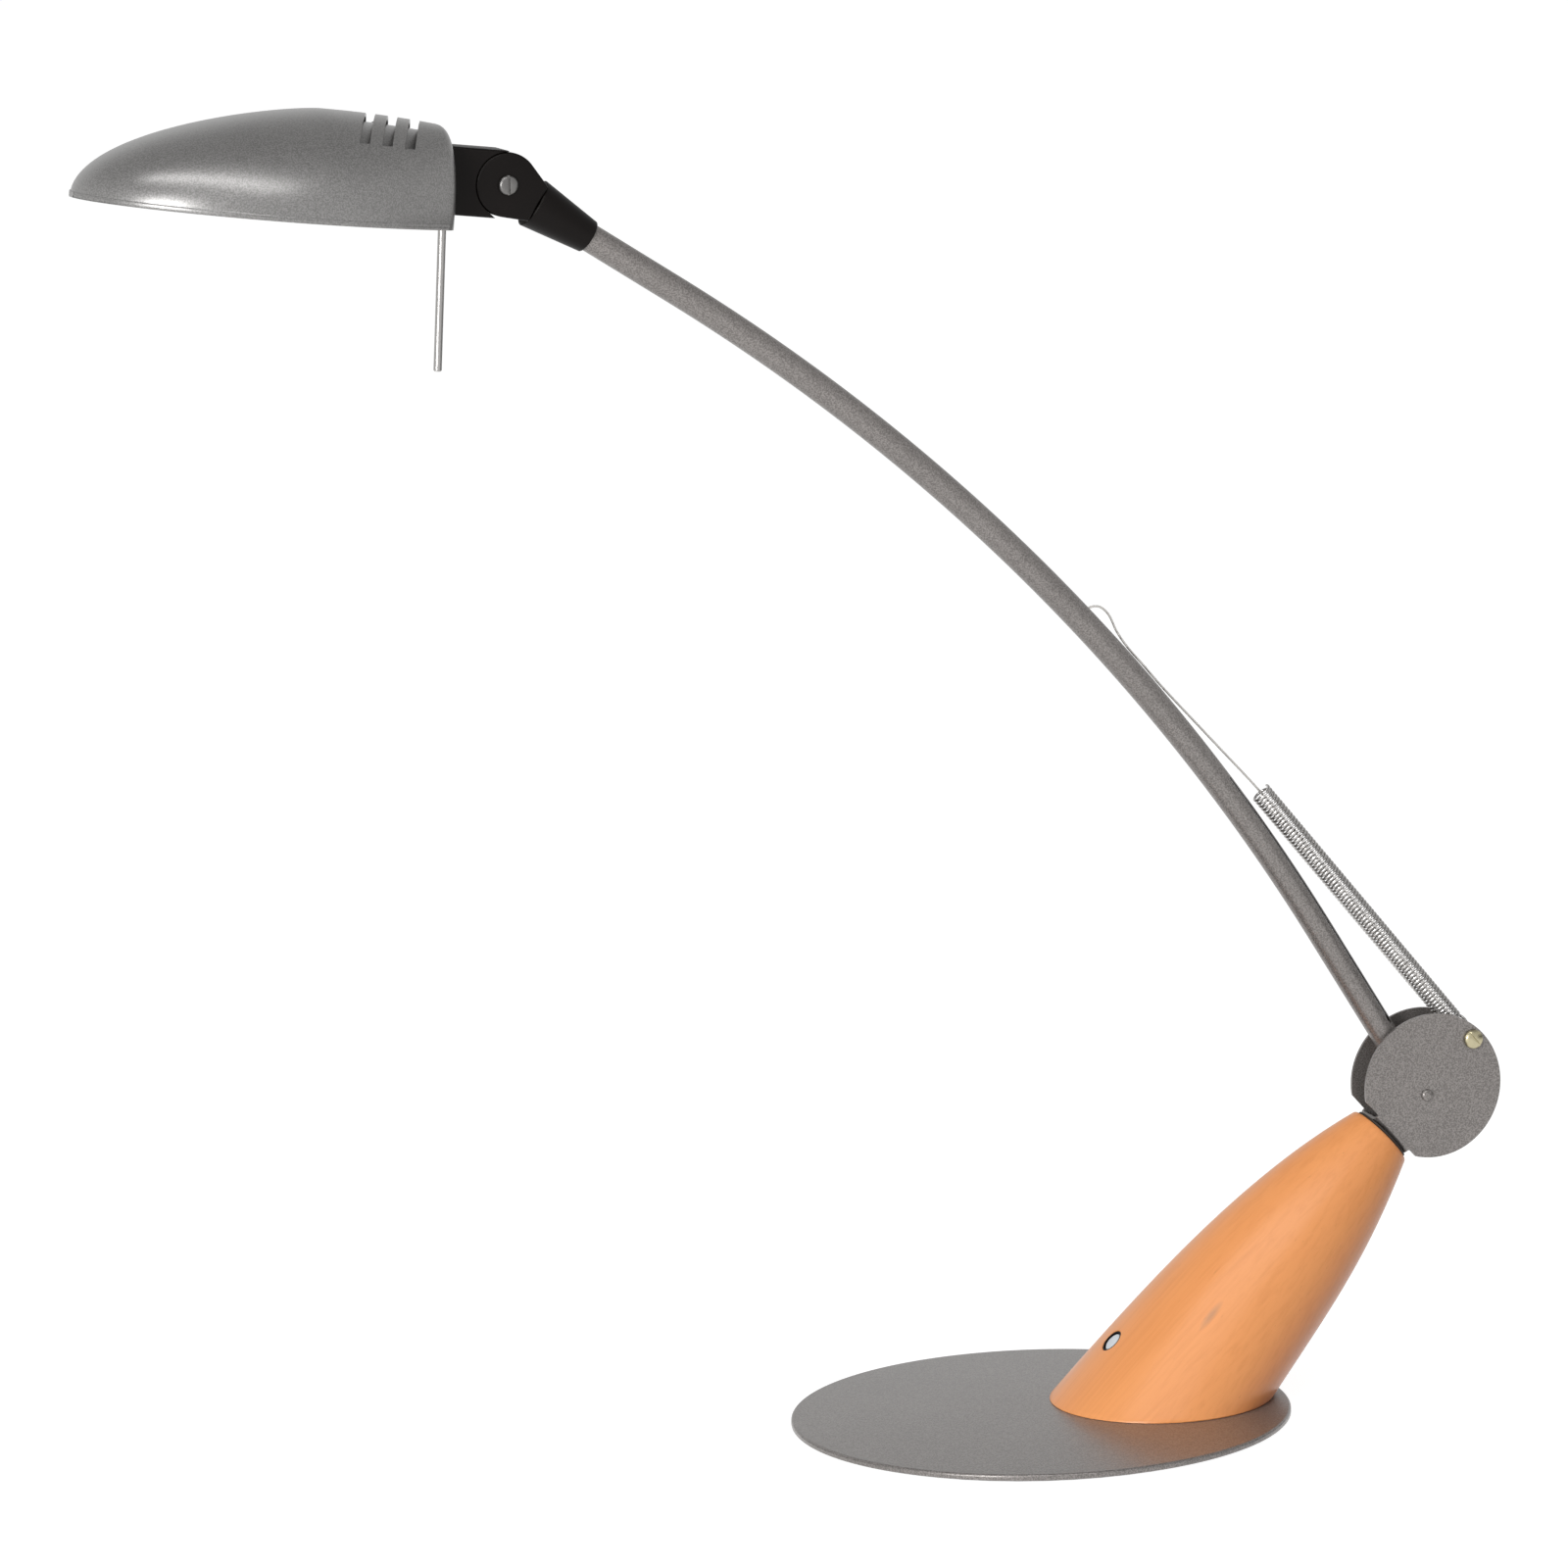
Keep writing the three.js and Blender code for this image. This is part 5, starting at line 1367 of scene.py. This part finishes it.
def shade_dome(name, form, skirt, fineness=FINE_DOME):
    """The shade's solid form, inset all round, with a skirt below where it is a cutter."""
    steps, around = fineness
    rings = []
    for x in shade_stations(form, steps):
        height, width = shade_size(x, form)
        sag = RIM_SAG * math.sin(x / form["length"] * math.pi)
        reach = SHADE_REAR - form["inset"] - x
        ring = []
        for k in range(around + 1):
            turn = k / around * math.pi
            bulge = abs(math.cos(turn)) ** (2 / SECTION_POWER)
            y = -width * math.copysign(bulge, math.cos(turn))
            rise = math.sin(turn) if 0 < k < around else 0
            z = (height + sag) * rise ** (2 / SECTION_POWER) - sag
            ring.append(Vector((reach, y, SHADE_RIM + z)))
        if skirt:
            ring.append(Vector((reach, width, SHADE_RIM - sag - skirt)))
            ring.append(Vector((reach, -width, SHADE_RIM - sag - skirt)))
        rings.append(ring)
    return loft(name, rings, SHADE_FRAME)


def rim_path(form):
    """The rim's line round the nose, from one rear corner to the other."""
    side = []
    for x in shade_stations(form, FINE_DOME[0]):
        if x >= form["round"]:
            width = shade_size(x, form)[1]
            sag = RIM_SAG * math.sin(x / form["length"] * math.pi)
            side.append(Vector((SHADE_REAR - x, -width, SHADE_RIM - sag)))
    far = [Vector((p.x, -p.y, p.z)) for p in reversed(side)]
    return side + far


def vent_cutter(middle, half, floor):
    """A slot across the shade whose near side runs towards the nose, as its far end does."""
    top = floor + 2 * VENT_DEPTH
    rings = []
    for i in range(-VENT_STEPS, VENT_STEPS + 1):
        y = VENT_STEP * i
        x = middle + VENT_SHIFT + VENT_SLANT * (VENT_TURN - abs(y - VENT_TURN))
        rings.append([(x - half, y, floor), (x + half, y, floor), (x + half, y, top), (x - half, y, top)])
    return loft("cutter", rings, SHADE_FRAME)


def make_shade():
    shade = bpy.context.scene.lamp_shade
    wall, height = shade.wall / MM, shade.shade_height / MM
    outside = shade_form(0, height)
    shell = shade_dome("shade", outside, 0)
    cutters = [shade_dome("cutter", shade_form(wall, height), OVERRUN)]
    for i in range(shade.vents):
        middle = VENT_FIRST + i * VENT_PITCH
        floor = SHADE_RIM + shade_size(middle, outside)[0] - VENT_DEPTH
        cutters.append(vent_cutter(SHADE_REAR - middle, shade.vent_width / MM / 2, floor))
    low, high = SHADE_REAR - wall - OVERRUN, SHADE_REAR + OVERRUN
    for y, z in BRACKET_SCREWS:
        place = SHADE_FRAME @ Matrix.Translation((0, y, z)) @ ALONG_X
        cutters.append(rod(BRACKET_HOLE, low, high, place, HOLE_ROUND))
    combine(shell, "DIFFERENCE", *cutters)
    finish_piece(shell, "lamp_shade", "head", "shade_paint", shade_paint(), "shade")


def make_shade_rim():
    shade = bpy.context.scene.lamp_shade
    rim = shade.rim_height / MM
    section = [(RIM_INSIDE, 0), (RIM_FLAT, 0), (RIM_OUTSIDE, RIM_LOWER_EDGE)]
    section += [(RIM_OUTSIDE, rim - RIM_UPPER_EDGE), (RIM_FLAT, rim), (RIM_INSIDE, rim)]
    rings = []
    path = rim_path(shade_form(0, shade.shade_height / MM))
    for i, point in enumerate(path):
        along = (path[min(i + 1, len(path) - 1)] - path[max(i - 1, 0)]).normalized()
        out = along.cross(Vector((0, 0, 1))).normalized()
        if out.dot(Vector((0, point.y, 0))) < 0:
            out = -out
        rings.append([point + out * a + Vector((0, 0, b)) for a, b in section])
    lip = loft("shade_rim", rings, SHADE_FRAME)
    finish_piece(lip, "lamp_shade_rim", "head", "shade_paint", shade_paint())


def thin_dome(name, inset, wall, height):
    """A thin domed sheet that follows the shade, inset from its outside."""
    shell = shade_dome(name, shade_form(inset, height), 0, COARSE_DOME)
    inner = shade_form(inset + wall, height)
    return combine(shell, "DIFFERENCE", shade_dome("cutter", inner, OVERRUN, COARSE_DOME))


def make_bulb():
    base = HOLDER_FRONT - CLEARANCE
    tip = base - BULB_LENGTH
    outline = [(0, tip), *arc(0, tip + BULB_RADIUS, BULB_RADIUS, -QUARTER, 0, BULB_STEPS)[1:]]
    outline += [(radius, base - before) for radius, before in BULB_FOOT]
    outline += [(BULB_FOOT[-1][0], base + BULB_STEM), (0, base + BULB_STEM)]
    place = SHADE_FRAME @ Matrix.Translation((0, 0, -BULB_DROP)) @ ALONG_X
    glass = lathe("bulb", outline, place, FITTING_ROUND)
    finish_piece(glass, "lamp_bulb", "head", "bulb_glass", bulb_glass(), "bulb")
    steps = FILAMENT_CURLS * FILAMENT_CURL_STEPS
    coil = []
    for i in range(steps + 1):
        turn = i / FILAMENT_CURL_STEPS * math.tau
        along = base - FILAMENT_AT + FILAMENT_RADIUS * math.sin(turn)
        coil.append(Vector((FILAMENT_RADIUS * math.cos(turn), FILAMENT_STEP * (i - steps / 2), along)))
    wire = tube("filament", coil, FILAMENT_WIRE, FILAMENT_ROUND, place)
    finish_piece(wire, "lamp_filament", "head", "steel", steel())
    for k, y in enumerate((-STAY_SIDE, STAY_SIDE)):
        leg = [
            Vector((0, y * STAY_FOOT_SHARE, base - STAY_FOOT)),
            Vector((0, y, base - STAY_BEND)),
            Vector((0, y, base - FILAMENT_AT)),
        ]
        path = smooth_through(leg, STAY_STEPS)
        stay = tube("filament_stay", path, STAY_RADIUS, STAY_ROUND, place, Vector((1, 0, 0)))
        finish_piece(stay, f"lamp_filament_stay_{k + 1}", "head", "steel", steel())


def make_shade_insides():
    shade = bpy.context.scene.lamp_shade
    length, width = shade.shade_length / MM, shade.half_width / MM
    shell = thin_dome("reflector", shade.wall / MM + CLEARANCE, REFLECTOR_WALL, REFLECTOR_HEIGHT)
    nose, rear = SHADE_REAR - length, SHADE_REAR - REFLECTOR_REAR
    low = SHADE_RIM + REFLECTOR_LIFT
    kept = block(nose, rear, -width, width, low, low + REFLECTOR_HEIGHT, SHADE_FRAME)
    combine(shell, "INTERSECT", kept)
    finish_piece(shell, "lamp_reflector", "head", "bright_aluminium", aluminium(), "reflector")
    height = shade.shade_height / MM
    shield = thin_dome("heat_shield", SHIELD_INSET, SHIELD_WALL, height)
    near, far = (SHADE_REAR - x for x in SHIELD_SPAN)
    low = SHADE_RIM + REFLECTOR_HEIGHT / 2
    kept = block(far, near, -width, width, low, low + height, SHADE_FRAME)
    combine(shield, "INTERSECT", kept)
    finish_piece(shield, "lamp_heat_shield", "head", "shade_paint", shade_paint())
    dress("holder_plate", steel(), edge=0.15)
    dress("lamp_holder", ceramic(), edge=0.5)
    for i in range(len(BRACKET_SCREWS)):
        dress(f"bracket_screw_{i + 1}", steel(), edge=0.2)
    make_bulb()


def handle_place():
    """Where the rod enters the black block from below."""
    down = -BRACKET_HALF
    top = (ROD_X - (down - SHADE_RIM) * math.tan(ROD_LEAN), 0, down)
    return SHADE_FRAME @ Matrix.Translation(top) @ Matrix.Rotation(-ROD_LEAN, 4, "Y")


def make_handle():
    shade = bpy.context.scene.lamp_shade
    radius, drop = shade.rod_radius / MM, shade.rod_drop / MM
    low = SHADE_RIM + BRACKET_HALF - drop
    high = -CLEARANCE - radius * math.sin(ROD_LEAN)
    outline = [(0, low), (radius - ROD_END_EDGE, low), (radius, low + ROD_END_EDGE)]
    outline += [(radius, high - ROD_TOP_EDGE), (radius - ROD_TOP_EDGE, high), (ROD_THREAD, high)]
    outline += [(ROD_THREAD, ROD_THREAD_LENGTH), (0, ROD_THREAD_LENGTH)]
    handle = lathe("handle_rod", outline, handle_place(), SMALL_ROUND)
    finish_piece(handle, "lamp_handle_rod", "head", "steel", drawn_steel(), "handle_rod")


# Stage: floor and cards in millimetres, lamps and camera in metres


FLOOR_HALF = 20000
FLOOR_TONE = 0.5
FLOOR_SHADOW_TONE = 0.3
FLOOR_GLOW = 0.92
SOFT_LIGHT = ((0.0, 0.54), (1.0, 0.22))
GLOSS_SKY = ((0.0, 0.85), (0.4, 0.75), (0.65, 0.45), (0.95, 0.25))
FLAG_ACROSS = Vector((0.95, -0.31, 0))
FLAG_BACK = Vector((0.31, 0.95, 0))
FLAG_ASIDE = 1100
FLAG_ALONG = (-600, 1400)
FLAG_HEIGHT = 300
FLAG_TONE = 0.03
LIT_PLACE = (0, 0, 0.25)
KEY_PLACE = (-1.9, -1.7, 0.8)
KEY_SIZE = (0.8, 0.6)
KEY_POWER = 39
STRIP_ENDS = ((-1.3, -0.2, 2.2), (0.2, -1.95, 1.65))
STRIP_WIDTH = 0.4
STRIP_POWER = 14.5
CAMERA_PLACE = (-1.04261843, -2.8645706, 0.7946442)
CAMERA_RIGHT = (0.94742714, -0.31821481, -0.03348368)
CAMERA_UP = (0.08622858, 0.15314438, 0.98443457)
CAMERA_BACK = (-0.30813382, -0.93556728, 0.17253235)
CAMERA_LENS = 180
CAMERA_SENSOR = 36
CAMERA_FAR = 100


def add_lamp(name, place, target, size, power):
    """A soft lamp at place, of size (across, up), that shines on target."""
    light = bpy.data.lights.new(name, "AREA")
    light.shape = "RECTANGLE"
    light.size, light.size_y = size
    light.energy = power
    thing = bpy.data.objects.new(name, light)
    bpy.context.scene.collection.objects.link(thing)
    thing.location = place
    thing.rotation_mode = "QUATERNION"
    thing.rotation_quaternion = (Vector(target) - thing.location).to_track_quat("-Z", "Y")
    return thing


def add_strip(name, ends, target, width, power):
    """A long soft lamp between two ends that shines on target."""
    start, end = (Vector(place) for place in ends)
    middle = (start + end) / 2
    thing = add_lamp(name, middle, target, ((end - start).length, width), power)
    back = (middle - Vector(target)).normalized()
    across = (end - start).normalized()
    across = (across - back * across.dot(back)).normalized()
    axes = Matrix((across, back.cross(across), back)).transposed()
    thing.rotation_quaternion = axes.to_quaternion()
    return thing


def greater(tree, a, b):
    return add(tree, "ShaderNodeMath", {0: a, 1: b}, operation="MAXIMUM").outputs[0]


def seen_through(tree, path):
    """1 for rays straight from the camera or through glass, else 0."""
    return greater(tree, path.outputs["Is Camera Ray"], path.outputs["Is Transmission Ray"])


def either(tree, factor, first, second):
    """One shader where factor is 0 and the other where it is 1."""
    inputs = {0: factor, 1: first.outputs[0], 2: second.outputs[0]}
    return add(tree, "ShaderNodeMixShader", inputs)


def make_floor():
    corners = [(-1, -1), (1, -1), (1, 1), (-1, 1)]
    points = [(x * FLOOR_HALF, y * FLOOR_HALF, 0) for x, y in corners]
    floor = new_object("floor", points, [(0, 1, 2, 3)])
    made = bpy.data.materials.new("floor_white")
    made.use_nodes = True
    tree = made.node_tree
    tree.nodes.remove(tree.nodes["Principled BSDF"])
    plain = add(tree, "ShaderNodeBsdfDiffuse", {"Color": grey(FLOOR_TONE)})
    shadowed = add(tree, "ShaderNodeBsdfDiffuse", {"Color": grey(FLOOR_SHADOW_TONE)})
    glow = add(tree, "ShaderNodeEmission", {"Color": grey(1), "Strength": FLOOR_GLOW})
    white = add(tree, "ShaderNodeAddShader", {0: shadowed.outputs[0], 1: glow.outputs[0]})
    path = add(tree, "ShaderNodeLightPath")
    seen = greater(tree, seen_through(tree, path), path.outputs["Is Glossy Ray"])
    shown = either(tree, seen, plain, white)
    tree.links.new(shown.outputs[0], tree.nodes["Material Output"].inputs["Surface"])
    floor.data.materials.append(made)


def make_world():
    world = bpy.data.worlds.new("studio")
    bpy.context.scene.world = world
    world.use_nodes = True
    tree = world.node_tree
    tree.nodes.clear()

    def backdrop(tone):
        return add(tree, "ShaderNodeBackground", {"Color": tone, "Strength": 1.0})

    direction = add(tree, "ShaderNodeTexCoord").outputs["Generated"]
    height = add(tree, "ShaderNodeSeparateXYZ", {0: direction}).outputs["Z"]
    soft = backdrop(grey_ramp(tree, height, SOFT_LIGHT))
    gloss = backdrop(grey_ramp(tree, height, GLOSS_SKY))
    path = add(tree, "ShaderNodeLightPath")
    lit = either(tree, path.outputs["Is Glossy Ray"], soft, gloss)
    shown = either(tree, seen_through(tree, path), lit, backdrop(grey(1)))
    output = add(tree, "ShaderNodeOutputWorld", {"Surface": shown.outputs[0]})
    output.is_active_output = True


def add_flag(side):
    """A dark card beside the lamp that only gloss sees, so metal gets dark edges."""
    aside = FLAG_ACROSS * side * FLAG_ASIDE
    low_start, low_end = (aside + FLAG_BACK * along for along in FLAG_ALONG)
    rise = Vector((0, 0, FLAG_HEIGHT))
    card = new_object("flag", [low_start, low_end, low_end + rise, low_start + rise], [(0, 1, 2, 3)])
    made = bpy.data.materials.new("flag_black")
    made.use_nodes = True
    shader = made.node_tree.nodes["Principled BSDF"]
    shader.inputs["Base Color"].default_value = grey(FLAG_TONE)
    card.data.materials.append(made)
    card.visible_camera = card.visible_diffuse = card.visible_shadow = False
    card.visible_transmission = False


def make_camera():
    camera = bpy.data.cameras.new("camera")
    camera.lens = CAMERA_LENS
    camera.sensor_width = CAMERA_SENSOR
    camera.clip_end = CAMERA_FAR
    thing = bpy.data.objects.new("camera", camera)
    bpy.context.scene.collection.objects.link(thing)
    thing.location = CAMERA_PLACE
    thing.rotation_mode = "QUATERNION"
    axes = Matrix((CAMERA_RIGHT, CAMERA_UP, CAMERA_BACK)).transposed()
    thing.rotation_quaternion = axes.to_quaternion()
    bpy.context.scene.camera = thing


def make_stage():
    make_floor()
    make_world()
    make_camera()
    add_lamp("key_light", KEY_PLACE, LIT_PLACE, KEY_SIZE, KEY_POWER)
    add_strip("strip_light", STRIP_ENDS, LIT_PLACE, STRIP_WIDTH, STRIP_POWER)
    for side in (-1, 1):
        add_flag(side)
    bpy.context.scene.view_settings.view_transform = "Standard"


# Operators and panel


class LAMP_OT_stage(bpy.types.Operator):
    """Set up the floor, the studio light and the camera"""

    bl_idname = "lamp.stage"
    bl_label = "Stage"

    def execute(self, context):
        make_stage()
        return {"FINISHED"}


class LAMP_OT_base(bpy.types.Operator):
    """Make the base plate and finish its pad and screws"""

    bl_idname = "lamp.base"
    bl_label = "Base plate"

    def execute(self, context):
        make_base()
        return {"FINISHED"}


class LAMP_OT_foot(bpy.types.Operator):
    """Make the leaning wooden foot with its bores"""

    bl_idname = "lamp.foot"
    bl_label = "Wooden foot"

    def execute(self, context):
        make_foot()
        return {"FINISHED"}


class LAMP_OT_switch(bpy.types.Operator):
    """Make the push button and the lead's inlet"""

    bl_idname = "lamp.switch"
    bl_label = "Switch and inlet"

    def execute(self, context):
        make_switch()
        return {"FINISHED"}


class LAMP_OT_yoke(bpy.types.Operator):
    """Make the forked yoke with its rivet and spring screw"""

    bl_idname = "lamp.yoke"
    bl_label = "Yoke"

    def execute(self, context):
        make_yoke()
        return {"FINISHED"}


class LAMP_OT_arm(bpy.types.Operator):
    """Make the bowed, slotted arm tube"""

    bl_idname = "lamp.arm"
    bl_label = "Arm"

    def execute(self, context):
        make_arm()
        return {"FINISHED"}


class LAMP_OT_cable(bpy.types.Operator):
    """Make the coated cable with its loop"""

    bl_idname = "lamp.cable"
    bl_label = "Cable"

    def execute(self, context):
        make_cable()
        return {"FINISHED"}


class LAMP_OT_spring(bpy.types.Operator):
    """Wind the balance spring from one hooked wire"""

    bl_idname = "lamp.spring"
    bl_label = "Balance spring"

    def execute(self, context):
        make_spring()
        return {"FINISHED"}


class LAMP_OT_joint(bpy.types.Operator):
    """Make the black joint: sleeve, forked neck, screw and bracket"""

    bl_idname = "lamp.joint"
    bl_label = "Joint"

    def execute(self, context):
        make_joint()
        return {"FINISHED"}


class LAMP_OT_shade(bpy.types.Operator):
    """Make the vented shade and its rim"""

    bl_idname = "lamp.shade"
    bl_label = "Shade"

    def execute(self, context):
        make_shade()
        make_shade_rim()
        return {"FINISHED"}


class LAMP_OT_insides(bpy.types.Operator):
    """Make the reflector, the bulb and what holds them"""

    bl_idname = "lamp.insides"
    bl_label = "Reflector and bulb"

    def execute(self, context):
        make_shade_insides()
        return {"FINISHED"}


class LAMP_OT_handle(bpy.types.Operator):
    """Make the handle rod under the shade"""

    bl_idname = "lamp.handle"
    bl_label = "Handle rod"

    def execute(self, context):
        make_handle()
        return {"FINISHED"}


OPERATORS = (
    LAMP_OT_stage,
    LAMP_OT_base,
    LAMP_OT_foot,
    LAMP_OT_switch,
    LAMP_OT_yoke,
    LAMP_OT_arm,
    LAMP_OT_cable,
    LAMP_OT_spring,
    LAMP_OT_joint,
    LAMP_OT_shade,
    LAMP_OT_insides,
    LAMP_OT_handle,
)
GROUPS = {
    "lamp_base": LampBaseSizes,
    "lamp_arm": LampArmSizes,
    "lamp_shade": LampShadeSizes,
    "lamp_colours": LampColours,
}


class LAMP_PT_panel(bpy.types.Panel):
    """Lists the lamp's sizes, its colours and its pieces"""

    bl_idname = "LAMP_PT_panel"
    bl_label = "Desk lamp"
    bl_space_type = "VIEW_3D"
    bl_region_type = "UI"
    bl_category = "Lamp"

    def draw(self, context):
        for name, group in GROUPS.items():
            box = self.layout.box()
            for prop in group.__annotations__:
                box.prop(getattr(context.scene, name), prop)
        for operator in OPERATORS:
            self.layout.operator(operator.bl_idname)


CLASSES = (*GROUPS.values(), *OPERATORS, LAMP_PT_panel)


def register():
    for made in CLASSES:
        bpy.utils.register_class(made)
    for name, group in GROUPS.items():
        setattr(bpy.types.Scene, name, PointerProperty(type=group))


def unregister():
    for name in GROUPS:
        delattr(bpy.types.Scene, name)
    for made in reversed(CLASSES):
        bpy.utils.unregister_class(made)


def main():
    register()
    for operator in OPERATORS:
        getattr(bpy.ops.lamp, operator.bl_idname.split(".")[1])()


if __name__ == "__main__":
    main()
